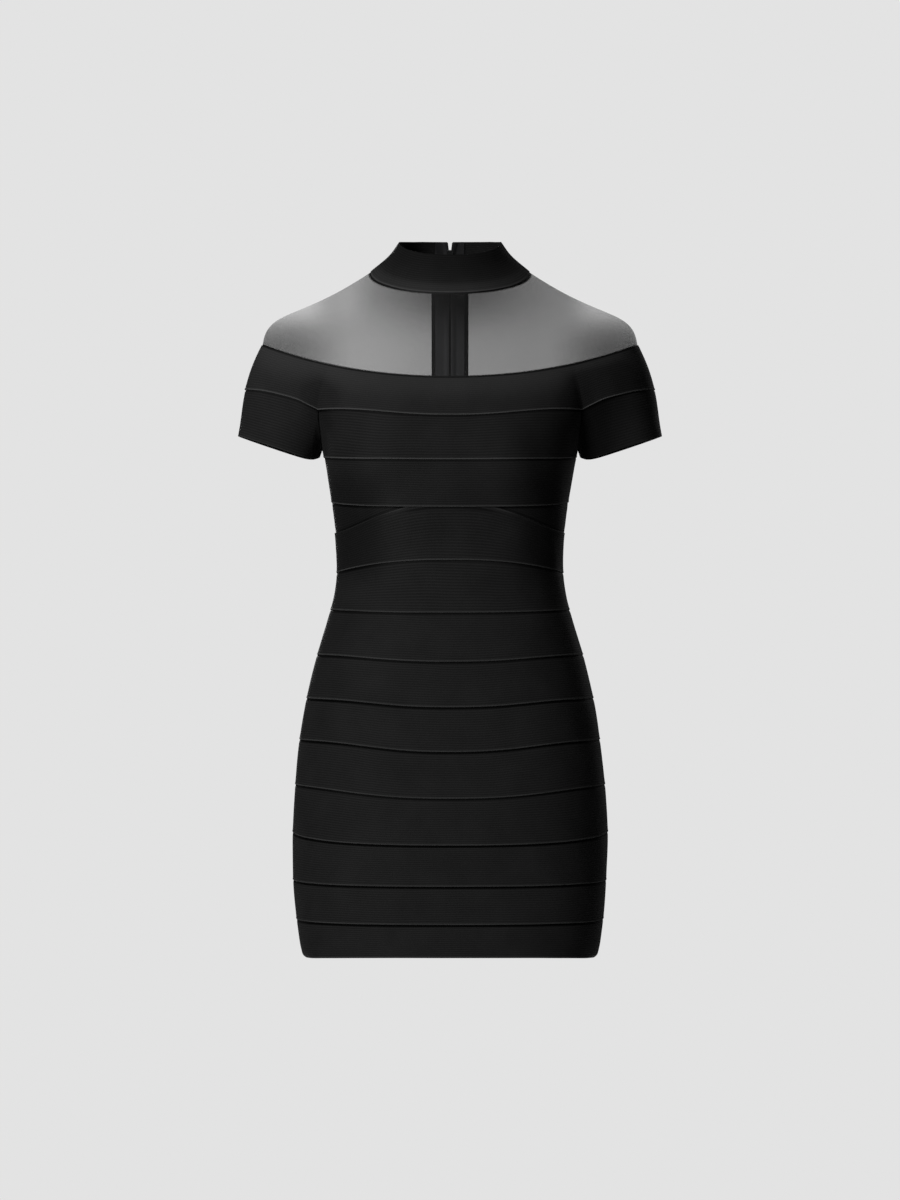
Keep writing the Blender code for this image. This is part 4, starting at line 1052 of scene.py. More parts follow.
def joined(*lines):
    """Several lines of stations as one."""
    made = {key: np.concatenate([line[key] for line in lines])
            for key in ("high", "low", "turn", "share", "neck")}
    return dict(made, edge=lines[0]["edge"])


def backwards(at):
    return picked(at, slice(None, None, -1))


def all_round(edge):
    """Stations from the centre back over the left, the front and the right."""
    back, front = quarter(False, edge), quarter(True)
    left = joined(back, backwards(picked(front, slice(0, -1))))
    right = flipped(left)
    return joined(left, picked(right, slice(1, None)))


def collar_surface(at, part):
    """Collar surface in the stations' columns. part has one row for each row of the grid."""
    part = np.broadcast_to(part, (part.shape[0], len(at["turn"])))
    row = {key: read(part) for key, read in COLLAR_AT.items()}
    power_of = 2 / COLLAR_SQUARE
    reach = row["half"] * math.sin(math.radians(float(neck_turn(BESIDE_NECK)))) ** power_of
    x = at["edge"] + (reach - at["edge"]) * np.nan_to_num(at["share"])
    near = 180 - back_reach(row["half"], COLLAR_SQUARE, x)
    angle = np.where(np.isnan(at["share"]), at["turn"], np.sign(at["turn"]) * near)
    x, y = oval(row["half"], row["front"], row["back"], COLLAR_SQUARE, angle)
    front = np.abs(angle) < 90
    share = np.abs(y) / np.where(front, row["front"], row["back"])
    z = row["side_z"] + (np.where(front, row["front_z"], row["back_z"]) - row["side_z"]) * share
    return stack(x, y, z)


def chest_surface(at, part):
    """Neckline band, from the neckline (0) to its lower edge (1)."""
    part = np.broadcast_to(part, (part.shape[0], len(at["turn"])))[..., None]
    point = at["high"] + (at["low"] - at["high"]) * part
    return point + unit(at["low"] * LEVEL) * BAND_BULGE * 4 * part * (1 - part)


def yoke_surface(at, part):
    """The net, on curves from the collar's foot (0) to the neckline (1)."""
    part = np.broadcast_to(part, (part.shape[0], len(at["turn"])))[..., None]
    start, end = collar_surface(at, np.array([[1.0]]))[0], at["high"]
    reach = end - start
    side = np.sign(end[:, 0] + 1e-9)
    shoulder = np.minimum(np.abs(end[:, 0]) / NECKLINE["half"], 1.0) ** SHOULDER["turn"]
    facing = np.copysign(CHEST_ROUND * (1 - shoulder), end[:, 1])
    upper = start + reach / 3 + stack(side * SHOULDER["upper_x"] * shoulder, facing,
                                      SHOULDER["upper_z"] * shoulder)
    lower = start + reach * 2 / 3 + stack(side * SHOULDER["lower_x"] * shoulder, facing,
                                          SHOULDER["lower_z"] * shoulder)
    rest = 1 - part
    return (start * rest**3 + upper * 3 * rest**2 * part + lower * 3 * rest * part**2
            + end * part**3)


def neckline_band():
    """Band 1, over the chest and both arms."""
    at = all_round(ZIP_EDGE)
    span = np.linalg.norm(at["high"] - at["low"], axis=-1)
    _, from_top, from_bottom = band_rows(span, 0.0 * span)
    points = chest_surface(at, from_top / span)
    row = NECK_BAND
    uneven = row["uneven"] * unevenness(at["turn"], points[..., 2])
    layer = BASE + lift(from_bottom) + uneven * ease(from_top / row["even_top"])
    rims = rim(from_top) * rim(from_edge(at)) * rim(from_bottom)
    fold = bead(from_bottom)
    flat = 1 - fold / BEAD["out"]
    # A painted highlight on the fold, painted shade along the upper edge, painted light over the
    # band and its upper part, and painted shade by the crease and over the left arm.
    tone = fold / BEAD["out"] * SEAMS["chest"]["light"] - (1 - ease(from_top / row["edge"]))
    tone = tone + row["light"]
    tone = tone + row["upper"] * (1 - ease((from_top - row["start"]) / row["fade"]))
    pit_shade = np.exp(-(((np.abs(at["neck"]) - CREASE_NECK) / NECK_PIT_SHADE["half"]) ** 2))
    tone = tone - NECK_PIT_SHADE["share"] * pit_shade * ease(from_top / NECK_PIT_SHADE["high"]) * flat
    row = NECK_ARM_SHADE
    arm = ease((at["neck"] - row["start"]) / row["grow"])
    arm = arm * (1 - ease((at["neck"] - row["end"]) / row["fade"]))
    left_arm_shade = row["share"] * arm * (at["turn"] > 0) * ease(from_top / row["high"])
    tone = tone - left_arm_shade * flat
    piece = shell("band_01_knit", points, layer, (HALF + fold) * rims, HALF * rims, fold=tone)
    return dress(piece, "band_01", KNIT_LOOK)


def armhole(off):
    """Height of the seam under the arm, from the crease to its lowest place at the side."""
    share = np.sin(math.pi / 2 * np.clip((off - CREASE) / (90 - CREASE), 0.0, 1.0))
    return SEAMS["chest"]["side"] + (ARMHOLE["low"] - SEAMS["chest"]["side"]) * share


def chest_inverse():
    """Places on the neckline, by the body's angle below them."""
    neck = np.linspace(0.0, CREASE_NECK, 200)
    return CHEST_ANGLE(neck), neck


def bust_band():
    """Band 2: tucked under band 1, and cut out under the arms."""
    columns = ring(ZIP_EDGE)
    angle = columns["angle"]
    off = off_middle(angle)
    under = off > CREASE
    chest_level = seam("chest", angle)
    lap = ARMHOLE["lap"]
    lapped = lap + (LAP - lap) * (1 - ease((off - CREASE) / ARMHOLE["lap_turn"]))
    top = np.where(under, armhole(off) + lapped, chest_level + LAP)
    bottom = seam("bust", angle)
    z, from_top, from_bottom = band_rows(top, bottom)
    points = body_ring(columns, z)
    # Above the chest seam the cloth follows the inside of band 1.
    neck = np.interp(off, *chest_inverse())
    share = columns["share"]
    neck = np.where(np.isnan(share), neck, ZIP_EDGE + (BESIDE_NECK - ZIP_EDGE)
                    * np.nan_to_num(share))
    front = np.abs(angle) < 90
    high = np.where(front[:, None], neckline(neck, True), neckline(neck, False))
    high[:, 0] *= np.sign(angle + 1e-9)
    low = body_ring(columns, chest_level)
    reach = high - low
    span = np.linalg.norm(reach, axis=-1)
    above = np.clip(z - chest_level, 0.0, LAP)
    part = (1 - above / span)[..., None]
    laid = high + (low - high) * part
    laid = laid + unit(low * LEVEL) * BAND_BULGE * 4 * part * (1 - part)
    use = (z > chest_level) & ~under
    points = np.where(use[..., None], laid, points)
    deep = TUCK - OVER * ease((off - BUST_TUCK["start"]) / BUST_TUCK["turn"])
    head = np.where(under, deep * (1 - ease((off - CREASE) / ARMHOLE["tuck_turn"])), deep)
    layer = BASE + head * (1 - ease((from_top - LAP) / SEAMS["chest"]["groove"]))
    layer = layer + lift(from_bottom)
    row = BUST_SHORT
    short = ease((off - row["start"]) / row["turn"]) * ease((off - CREASE) / row["from_crease"])
    layer = layer + short * row["out"] * ease(1 - from_bottom / row["high"])
    row = BUST_EVEN
    even = row["share"] * ease((off - row["start"]) / row["turn"])
    layer = layer + unevenness(angle, z) * (1 - even)
    laps = np.where(under, lap, LAP)
    # Painted shade at the top of the band, towards the armpit.
    row = BUST_PIT_SHADE
    pit_shade = row["share"] * ease((off - row["start"]) / row["turn"])
    pit_shade = pit_shade * (1 - ease((from_top - row["high"]) / row["fade"]))
    piece = band_shell("band_02_knit", columns, points, from_top, from_bottom, layer, "chest",
                       "bust", lap=laps, shade=pit_shade)
    return dress(piece, "band_02", KNIT_LOOK)


def hem_point(hem):
    """Point of the left sleeve's hem. Positive angles are in front."""
    turn = np.radians(hem)
    x = HEM["x"] + HEM["half"] * np.cos(turn)
    y = -np.where(np.sin(turn) > 0, HEM["front"], HEM["back"]) * np.sin(turn)
    drop = HEM["slope"] * (HEM["x"] + HEM["half"] - x)
    rise = HEM["lift"] * np.maximum(0.0, -np.cos(turn)) ** 6
    return stack(x, y, HEM["outer_z"] - drop + rise)


def sleeve(side):
    """The sleeve's lower band: under band 1 on the arm, over band 2's edge at the armhole."""
    arms = arm_necks()[::-1]
    front, back = quarter(True), quarter(False)
    count = len(arms) + 1
    arm_front = backwards(picked(front, slice(-count, None)))
    arm_back = picked(back, slice(-count, -1))
    off = np.linspace(CREASE, 180 - CREASE, ARMHOLE["columns"])[1:-1]
    level = armhole(off_middle(off))
    top = body(off, level)
    nearby = body(off + 0.5, level) - body(off - 0.5, level)
    outward = unit(np.stack([-nearby[:, 1], nearby[:, 0], 0 * off], axis=-1))
    outward = outward * np.sign(outward[:, :1])
    free = SLEEVE_FREE
    loose = ease((off_middle(off) - CREASE) / free["loose"])
    hole_top = top + outward * OVER * loose[:, None]
    hem_hole = ARMHOLE_HEM_AT(off_middle(off))
    hem_hole = np.where(off > 90, 360 - hem_hole, hem_hole)
    hems = np.concatenate([ARM_AT["hem"](arm_front["turn"]), hem_hole,
                           ARM_AT["hem"](arm_back["turn"])])
    low = np.concatenate([arm_front["low"], hole_top, arm_back["low"]])
    hem = hem_point(hems)
    span = np.linalg.norm(hem - low, axis=-1)

    up = unit(low - hem)
    for start, at in ((0, arm_front), (len(low) - len(arm_back["low"]), arm_back)):
        reach = at["high"] - at["low"]
        towards = chest_surface(at, 1 - LAP / np.linalg.norm(reach, axis=-1)[None])[0]
        up[start:start + len(towards)] = unit(towards - at["low"])
    by_crease = 1 - ease((off_middle(off) - CREASE) / free["turn"])
    short_lap = free["least"] + (1 - free["least"]) * by_crease
    on_front, on_back = np.ones(len(arm_front["low"])), np.ones(len(arm_back["low"]))
    covered = np.concatenate([on_front, short_lap, on_back])
    tucked = np.concatenate([on_front, 1 - loose, on_back])
    scale = np.minimum(1.0, span / SLEEVE_SPAN)
    head = np.array(SLEEVE_HEAD)[:, None]
    head = np.where(head < 0, head * covered, head * scale)
    foot = np.array(SLEEVE_FOOT)[:, None] * scale
    share = np.arange(1, SLEEVE_MIDDLE + 1)[:, None] / (SLEEVE_MIDDLE + 1)
    first, last = head[-1], span - foot[0]
    down = np.concatenate([head, first + (last - first) * share, span - foot])
    part = np.maximum(down, 0.0)[..., None] / span[:, None]
    points = low + (hem - low) * part + up * np.maximum(-down, 0.0)[..., None]
    layer = BASE + TUCK * tucked * (1 - ease(down / SEAMS["chest"]["groove"]))
    row = SLEEVE_WAVE
    uneven = row["out"] * np.sin(hems / row["round"] + down / row["down"])
    layer = layer + uneven * ease(down / row["start"])
    from_top = down - head[0]
    if side < 0:
        points = points[:, ::-1] * MIRROR
        layer, down, from_top = layer[:, ::-1], down[:, ::-1], from_top[:, ::-1]
        span = span[::-1]
    thick = HALF * rim(from_top) * rim(span - down)
    name = "sleeve_left" if side > 0 else "sleeve_right"
    # Painted shade in the upper seam and by the armpit, and a painted highlight on the hem.
    share, start, fade = ARM_SHADE[side]
    pit_shade = share * (1 - ease((np.abs(points[..., 0]) - start) / fade))
    hem_light = SLEEVE_TONE["hem"] * bead(span - down) / BEAD["out"]
    tone = SLEEVE_TONE["seam"] * crease(down) + hem_light - pit_shade
    piece = shell(name + "_knit", points, layer, thick, thick, closed=True, fold=tone)
    return dress(piece, name, KNIT_LOOK)


def collar():
    """The stand collar, in one piece round the neck and open at the centre back."""
    at = all_round(ZIP_EDGE)
    down = np.array(COLLAR_ROWS)[:, None]
    part = COLLAR_CLEAR + (1 - 2 * COLLAR_CLEAR) * down / COLLAR_HEIGHT
    points = collar_surface(at, part)
    from_foot = COLLAR_HEIGHT - down
    rims = rim(down) * rim(from_foot) * rim(from_edge(at))
    layer = BASE + COLLAR_EVEN * unevenness(at["turn"], points[..., 2])
    # Painted shade, darkest at the rim and less towards the foot, and a painted highlight along the
    # foot.
    row = COLLAR_TONE
    tone = row["fold"] * bead(from_foot) / BEAD["out"] + row["rim"]
    tone = tone + row["down"] * ease((down - row["start"]) / row["turn"])
    tone = tone + row["foot"] * ease((down - row["foot_start"]) / row["foot_turn"])
    piece = shell("collar_knit", points, layer, HALF * rims, HALF * rims, fold=tone)
    return dress(piece, "collar", KNIT_LOOK)


# How much of each face the net's threads cover, with painted shade that makes more or less of it
# show:
# the share, then where it starts, or lies, and over how far it changes, across (x) and in height
# (z).
NET_PLAIN = 0.21
NET_BY = dict(
    collar=dict(share=0.2, half=88.0, z=-18.0, high=40.0),
    middle=dict(share=0.05, half=60.0),
    corner=dict(share=0.16, x=105.0, wide=85.0, z=-48.0, high=42.0),
    left=dict(share=0.065, x=-5.0, wide=110.0),
    shoulder=dict(share=-0.12, x=128.0, wide=42.0, z=-70.0, high=35.0),
    slope=dict(share=-0.05, x=-118.0, half=22.0, z=-70.0, high=40.0),
)


def net_cover_and_shade(points):
    """How much of each face the threads cover, and painted shade that adds to it or takes from it.
    """
    x, z = points[..., 0], points[..., 2]
    far, total = np.abs(x), NET_PLAIN
    row = NET_BY["collar"]
    near = np.exp(-((x / row["half"]) ** 2) - ((z - row["z"]) / row["high"]) ** 2)
    total = total + row["share"] * near
    row = NET_BY["middle"]
    total = total + row["share"] * np.exp(-((x / row["half"]) ** 2))
    row = NET_BY["corner"]
    low = ease((row["z"] - z) / row["high"])
    total = total + row["share"] * ease((far - row["x"]) / row["wide"]) * low
    row = NET_BY["left"]
    total = total + row["share"] * ease((x - row["x"]) / row["wide"])
    row = NET_BY["shoulder"]
    high = ease((z - row["z"]) / row["high"])
    total = total + row["share"] * ease((far - row["x"]) / row["wide"]) * high
    row = NET_BY["slope"]
    high = ease((z - row["z"]) / row["high"])
    return total + row["share"] * np.exp(-(((x - row["x"]) / row["half"]) ** 2)) * high


def net_panel(name, at):
    """A net panel: its upper edge lies under the collar and its lower edge under band 1."""
    band = np.linalg.norm(at["high"] - at["low"], axis=-1)[None]
    foot = collar_surface(at, np.array([[1.0]]))
    tenth = np.linalg.norm(collar_surface(at, np.array([[0.9]])) - foot, axis=-1)
    tops = collar_surface(at, 1 - np.array(NET_LAP)[:, None] / (tenth * 10))
    parts = np.concatenate(NET_ROWS)[:, None]
    middle = yoke_surface(at, parts)
    ends = chest_surface(at, np.array(NET_LAP[::-1])[:, None] / band)
    points = np.concatenate([tops, middle, ends])
    part = np.concatenate([[0.0] * len(tops), parts[:, 0], [1.0] * len(ends)])[:, None]
    under = 1 - ease(part / NET_OUT["top_fade"])
    under = under + ease((part - NET_OUT["foot"]) / NET_OUT["foot_fade"])
    behind, level = NET_UNDER
    beside = np.clip((level - np.abs(points[..., 0])) / (level - behind), 0.0, 1.0)
    under = np.maximum(under, np.where(points[..., 1] > 0, beside, 0.0))
    layer = NET_LAYER + (NET_TUCK - NET_LAYER) * under
    rows = np.arange(len(points))[:, None]
    columns = np.arange(points.shape[1])[None]
    free = (rows > 0) * (rows < len(points) - 1) * (columns > 0)
    free = free * (columns < points.shape[1] - 1) * NET_THICK / 2
    normals = grid_normals(points, False)
    for c in (0, -1):
        # On the shoulder line the panels meet, so there they face neither forwards nor back.
        if abs(points[SHOULDER_LINE["row"], c, 0]) > SHOULDER_LINE["out"]:
            normals[:, c, 1] = 0.0
    normals = unit(normals)
    span, row = np.linalg.norm(at["high"] - foot[0], axis=-1), NET_SEAM
    seamed = np.maximum(1 - ease((part * span - row["top"]) / row["top_fade"]),
                        ease((row["foot"] - (1 - part) * span) / row["foot_fade"]))
    density = net_cover_and_shade(points)
    piece = shell(name + "_net", points, layer, free, free, normals=normals,
                  fold=density + (row["cover"] - density) * seamed)
    return dress(piece, name, NET_LOOK)


def yokes():
    """The front panel, in one piece, and the two at the back."""
    front = quarter(True)
    left = backwards(front)
    net_panel("yoke_front", joined(left, picked(flipped(left), slice(1, None))))
    back = quarter(False, NET_EDGE)
    net_panel("yoke_back_left", back)
    net_panel("yoke_back_right", flipped(back))


# ---- centre back -------------------------------------------------------------------------------


def beside_zip(side, xs, surface, part):
    """Points at these distances from the centre back, on one of the surfaces."""
    xs = np.abs(np.asarray(xs, float))
    if surface == "body":
        half = BODY_AT["half"](part)
        angle = 180 - back_reach(half, SQUARE, xs)
        points = body(angle, np.full(len(xs), part))
    else:
        low_z = SEAMS["chest"]["back"]
        low = body(180 - back_reach(BODY_AT["half"](low_z), SQUARE, xs), np.full(len(xs), low_z))
        at = dict(high=neckline(xs, False), low=low, turn=np.full(len(xs), 180.0),
                  share=np.zeros(len(xs)), edge=xs, neck=xs)
        read = dict(collar=collar_surface, yoke=yoke_surface, chest=chest_surface)[surface]
        points = read(at, np.array([[part]]))[0]
    return points * np.array((side, 1.0, 1.0))


def strip(name, side, columns, rows, layer, half, free, fold):
    """A strip along the centre back. columns(row) gives the distances from the middle."""
    points = np.array([beside_zip(side, columns(r), *row) for r, row in enumerate(rows)])
    count = points.shape[1]
    along = np.linalg.norm(np.diff(points[:, count // 2], axis=0), axis=-1)
    down = np.concatenate([[0.0], np.cumsum(along)])[:, None]
    rims = rim(down, free) * rim(down[-1] - down, free)
    across = np.abs(points[len(rows) // 2, :, 0] - points[len(rows) // 2, 0, 0])
    rims = rims * rim(across, free) * rim(across.max() - across, free)
    layer = np.broadcast_to(layer, points.shape[:2])
    fold = np.broadcast_to(fold, points.shape[:2])
    if side > 0:
        return shell(name, points, layer, half * rims, half * rims, plain=True, fold=fold)
    return shell(name, points[:, ::-1], layer[:, ::-1], half * rims[:, ::-1],
                 half * rims[:, ::-1], plain=True, fold=fold[:, ::-1])


def placket(side):
    """The knit strip that edges the net beside the zip, with one row of stitching."""
    by_zip, even, by_stitch, by_net = (np.array(row) for row in PLACKET_COLUMNS)
    row = PLACKET_STITCH
    xs = np.concatenate([ZIP_EDGE + by_zip, even, row["at"] + by_stitch, PLACKET_WIDE - by_net])
    groove = -row["depth"] * np.exp(-(((xs - row["at"]) / row["half"]) ** 2))
    # A painted highlight on the margin beyond the stitching.
    margin_highlight = row["light"] * ease((xs - row["at"]) / row["fade"])
    name = "placket_left" if side > 0 else "placket_right"
    rows = [("yoke", part) for part in np.concatenate(PLACKET_ROWS)]
    piece = strip(name + "_knit", side, lambda r: xs, rows, BASE + groove[None], HALF, RIM,
                  fold=margin_highlight[None])
    return dress(piece, name, KNIT_LOOK)


def zip_rows(start, last, step=ROW_STEP):
    """Rows from a place on the collar down the centre back to the height last."""
    steps = max(3, int(COLLAR_HEIGHT * (1 - start) / step))
    rows = [("collar", p) for p in np.linspace(start, 1.0, steps)]
    rows += [("yoke", p) for p in np.linspace(0.0, 1.0, YOKE_STEPS)[1:]]
    rows += [("chest", p) for p in np.linspace(0.0, 1.0, CHEST_STEPS)[1:]]
    top = SEAMS["chest"]["back"]
    rows += [("body", z) for z in np.linspace(top, last, int((top - last) / step))[1:]]
    return rows


def tape_start(part):
    """From the middle to the tape's edge on the collar, where the zip opens in a narrow V."""
    return np.interp(part, *zip(*TAPE_OPEN))


def tape(side):
    """One zip tape, from the collar's rim to just below the zip."""
    end = SEAMS[ZIP_END]["back"] + TAPE_PAST
    rows = [("collar", part) for part in TAPE_TOP] + zip_rows(0.0, end)[1:]
    starts = np.array([tape_start(part) if surface == "collar" else TAPE_GAP
                       for surface, part in rows])
    first, last, count = TAPE_FLAT

    def columns(r):
        even = np.linspace(starts[r] + first, TAPE_EDGE - last, count)
        return np.concatenate([starts[r] + TAPE_RIM, even, TAPE_EDGE - TAPE_RIM[::-1]])

    name = "zip_tape_left" if side > 0 else "zip_tape_right"
    across = np.array([columns(r) for r in range(len(rows))])
    flat = np.array([TAPE_ON_NET if surface in ("collar", "yoke") else TAPE_LAYER
                     for surface, _ in rows])
    kernel = np.full(TAPE_SMOOTH, 1 / TAPE_SMOOTH)
    flat = np.convolve(np.pad(flat, TAPE_SMOOTH // 2, "edge"), kernel, "valid")[:, None]
    # The tape comes up to the knit beside the coil, which stands further out where it is open.
    beside = TAPE_RISE["start"] + TAPE_RISE["with_gap"] * (starts[:, None] - TAPE_GAP)
    layer = TAPE_DEEP + (flat - TAPE_DEEP) * ease((across - beside) / TAPE_RISE["over"])
    # On the net the tape's painted shade changes with height and side; elsewhere it is all painted
    # shade.
    shade_on_tape = TAPE_SHADE[side]
    covered = np.array([[np.interp(part, *zip(*shade_on_tape)) if surface == "yoke" else 1.0]
                        for surface, part in rows])
    piece = strip(name + "_woven", side, columns, rows, layer, TAPE_THICK / 2,
                  TAPE_THICK / 2, fold=covered)
    return dress(piece, name, TAPE_LOOK)


def zip_path(rows, layer):
    """The middle of the zip as points, each with its direction down and its way out."""
    line = np.array([beside_zip(1, NEAR_MIDDLE, *row)[0] for row in rows])
    line[:, 0] = 0.0
    run = np.concatenate([[0.0], np.cumsum(np.linalg.norm(np.diff(line, axis=0), axis=-1))])
    down = unit(np.gradient(line, axis=0))
    kernel = np.array((0.25, 0.5, 0.25))
    for _ in range(3):
        for axis in (1, 2):
            down[1:-1, axis] = np.convolve(down[:, axis], kernel, "same")[1:-1]
    down = unit(down)
    out = np.cross(down, np.array((1.0, 0.0, 0.0)))
    out = out * np.sign(out[:, 1:2])
    return run, line + out * layer, down, out


def tooth():
    """One turn of the coil: a rounded bar from the tape's edge past the middle."""
    bpy.ops.mesh.primitive_cube_add(size=1.0)
    made = bpy.context.object
    made.scale = (CHAIN_HALF + TOOTH["past"], TOOTH["wide"], TOOTH["high"])
    bpy.ops.object.transform_apply(location=False, rotation=False, scale=True)
    bpy.ops.object.mode_set(mode="EDIT")
    bpy.ops.mesh.select_all(action="SELECT")
    bpy.ops.mesh.bevel(offset=TOOTH["bevel"], segments=1)
    bpy.ops.object.mode_set(mode="OBJECT")
    points = np.array([v.co[:] for v in made.data.vertices])
    points[:, 0] += (CHAIN_HALF - TOOTH["past"]) / 2
    faces = [list(p.vertices) for p in made.data.polygons]
    bpy.data.objects.remove(made, do_unlink=True)
    return points, faces


def face_out():
    """In edit mode, makes every face point outwards, and goes back to object mode."""
    bpy.ops.mesh.select_all(action="SELECT")
    bpy.ops.mesh.normals_make_consistent(inside=False)
    bpy.ops.object.mode_set(mode="OBJECT")


def coil():
    """The coil: turns from both tapes in alternation, closed up to the slider and open above."""
    rows = zip_rows(OPEN_TOP, SEAMS[ZIP_END]["back"] + CHAIN_PAST, COIL_STEP)
    run, line, down, out = zip_path(rows, CHAIN_LAYER)
    closed_from = COLLAR_HEIGHT * (CHAIN_TOP - OPEN_TOP)
    points, faces = tooth()
    vertices, polygons = [], []
    count = int((run[-1] - TOOTH["end"]) / TOOTH["pitch"])
    for side in (1, -1):
        x = np.array((side, 0.0, 0.0))
        for i in range(count):
            at = TOOTH["start"] + TOOTH["pitch"] * (i + (0.5 if side > 0 else 0.0))
            here, y, z = (np.array([np.interp(at, run, table[:, k]) for k in range(3)])
                          for table in (line, down, out))
            parted = ease(max(0.0, 1 - at / closed_from) * COIL_OPEN["turn"])
            start_at = tape_start(OPEN_TOP + at / COLLAR_HEIGHT)
            apart = (start_at + COIL_OPEN["clear"] + TOOTH["past"]) * parted
            here = here + x * apart - z * COIL_OPEN["drop"] * parted
            placed = here + points[:, :1] * x + points[:, 1:2] * unit(y) + points[:, 2:] * unit(z)
            start = len(vertices)
            vertices.extend((placed * METRE).tolist())
            for face in faces:
                order = face if side > 0 else face[::-1]
                polygons.append([start + k for k in order[::-1]])
    made = new_piece("zip_coil", vertices, polygons)
    made.data.update()
    bpy.context.view_layer.objects.active = made
    made.select_set(True)
    bpy.ops.object.mode_set(mode="EDIT")
    face_out()
    bpy.ops.object.shade_smooth_by_angle(angle=COIL_SHARP)
    made.select_set(False)
    return dress(made, "zip_chain", COIL_LOOK)


# ---- slider and pull ---------------------------------------------------------------------------

# In the slider's own axes, in millimetres: x across, y up the zip, z outwards.
PLATE = dict(wide=7.2, long=11.0, thick=1.0, middle=1.0, outer=1.55, inner=-4.45, tail=0.86,
             corner=1.7, border=0.75, sunk=0.22, edge=0.14)
LIP = dict(out=3.05, below=1.6, deep=0.9, size=(0.55, 6.4, 1.1), edge=0.15)
POST = dict(above=4.1, wide=1.6, long=2.4, past=0.3, taper=0.35, edge=0.15)
BRIDGE = dict(middle=-1.5, reach=2.45, foot=1.85, wide=1.7, thick=0.9, corner=0.2, steps=16)
PIVOT = dict(along=-2.6, out=2.95)
TAB = dict(wide=6.0, long=22.0, thick=1.1, at=-14.6, taper=0.76, foot=20.0, foot_corner=2.2,
           head=5.0, head_corner=0.9, border=1.0, bank=0.2, sunk=0.22, edge=0.16)
ARM = dict(out=1.65, below=1.95, radius=0.5, long=4.5)
BAR = dict(radius=0.42, long=4.1)
ROD = dict(sides=20, edge=0.12)
SHARP = math.radians(35)
SQUARELY = 0.9        # how closely a face or edge has to point a way to be picked for it


def slider_axes():
    """The slider's place and axes on the back of the collar."""
    rim_at, here, foot = (beside_zip(1, NEAR_MIDDLE, "collar", part)[0]
                          for part in (0.0, CHAIN_TOP, 1.0))
    up = rim_at - foot
    here, up = (Vector((0.0, float(v[1]), float(v[2]))) for v in (here, up))
    up.normalize()
    across = Vector((1.0, 0.0, 0.0))
    turned = Matrix((across, up, up.cross(across))).transposed().to_4x4()
    return Matrix.Scale(METRE, 4) @ Matrix.Translation(here) @ turned


def select(made, kind, wanted):
    """Goes to edit mode with the faces or edges selected that wanted(middle, way) picks."""
    bpy.ops.object.mode_set(mode="EDIT")
    bpy.ops.mesh.select_mode(type=kind)
    bpy.ops.mesh.select_all(action="DESELECT")
    bpy.ops.object.mode_set(mode="OBJECT")
    data = made.data
    if kind == "FACE":
        for face in data.polygons:
            face.select = wanted(face.center, face.normal)
    else:
        for edge in data.edges:
            one, two = (data.vertices[i].co for i in edge.vertices)
            edge.select = wanted((one + two) / 2, (two - one).normalized())
    bpy.ops.object.mode_set(mode="EDIT")


def block(centre, size):
    """A plain block, to be shaped further."""
    bpy.ops.object.select_all(action="DESELECT")
    bpy.ops.mesh.primitive_cube_add(size=1.0, location=centre)
    made = bpy.context.object
    made.scale = size
    bpy.ops.object.transform_apply(location=True, rotation=True, scale=True)
    return made


def broken_edges(made, offset):
    """Bevels every sharp edge."""
    bpy.ops.object.mode_set(mode="EDIT")
    bpy.ops.mesh.select_mode(type="EDGE")
    bpy.ops.mesh.select_all(action="DESELECT")
    bpy.ops.mesh.edges_select_sharp(sharpness=SHARP)
    bpy.ops.mesh.bevel(offset=offset, segments=2, affect="EDGES")
    bpy.ops.object.mode_set(mode="OBJECT")
    return made


def slider_plate(out, facing):
    """One plate: rounded corners, a narrower tail, and a lip along each side of the coil."""
    made = block((0.0, PLATE["middle"], out), (PLATE["wide"], PLATE["long"], PLATE["thick"]))
    select(made, "FACE", lambda at, way: way.y < -SQUARELY)
    bpy.ops.transform.resize(value=(PLATE["tail"], 1.0, 1.0), center_override=(0.0, 0.0, out))
    select(made, "EDGE", lambda at, way: abs(way.z) > SQUARELY)
    bpy.ops.mesh.bevel(offset=PLATE["corner"], segments=5, affect="EDGES")
    bpy.ops.object.mode_set(mode="OBJECT")
    select(made, "FACE", lambda at, way: way.z * facing > SQUARELY)
    bpy.ops.mesh.inset(thickness=PLATE["border"], depth=-PLATE["sunk"])
    bpy.ops.object.mode_set(mode="OBJECT")
    pieces = [broken_edges(made, PLATE["edge"])]
    for side in (1, -1):
        centre = (side * LIP["out"], PLATE["middle"] - LIP["below"], out - facing * LIP["deep"])
        pieces.append(broken_edges(block(centre, LIP["size"]), LIP["edge"]))
    return pieces


def bridge():
    """The loop over the front plate, spun from its section."""
    foot, reach, middle = BRIDGE["foot"], BRIDGE["reach"], BRIDGE["middle"]
    bpy.ops.object.select_all(action="DESELECT")
    bpy.ops.mesh.primitive_plane_add(size=1.0, location=(0.0, middle + reach, foot))
    made = bpy.context.object
    made.scale = (BRIDGE["wide"], BRIDGE["thick"], 1.0)
    bpy.ops.object.transform_apply(location=True, rotation=True, scale=True)
    bpy.ops.object.mode_set(mode="EDIT")
    bpy.ops.mesh.select_all(action="SELECT")
    bpy.ops.mesh.bevel(offset=BRIDGE["corner"], segments=2, affect="VERTICES")
    bpy.ops.mesh.select_all(action="SELECT")
    bpy.ops.mesh.spin(steps=BRIDGE["steps"], angle=math.pi, center=(0.0, middle, foot),
                      axis=(1.0, 0.0, 0.0))
    face_out()
    return made


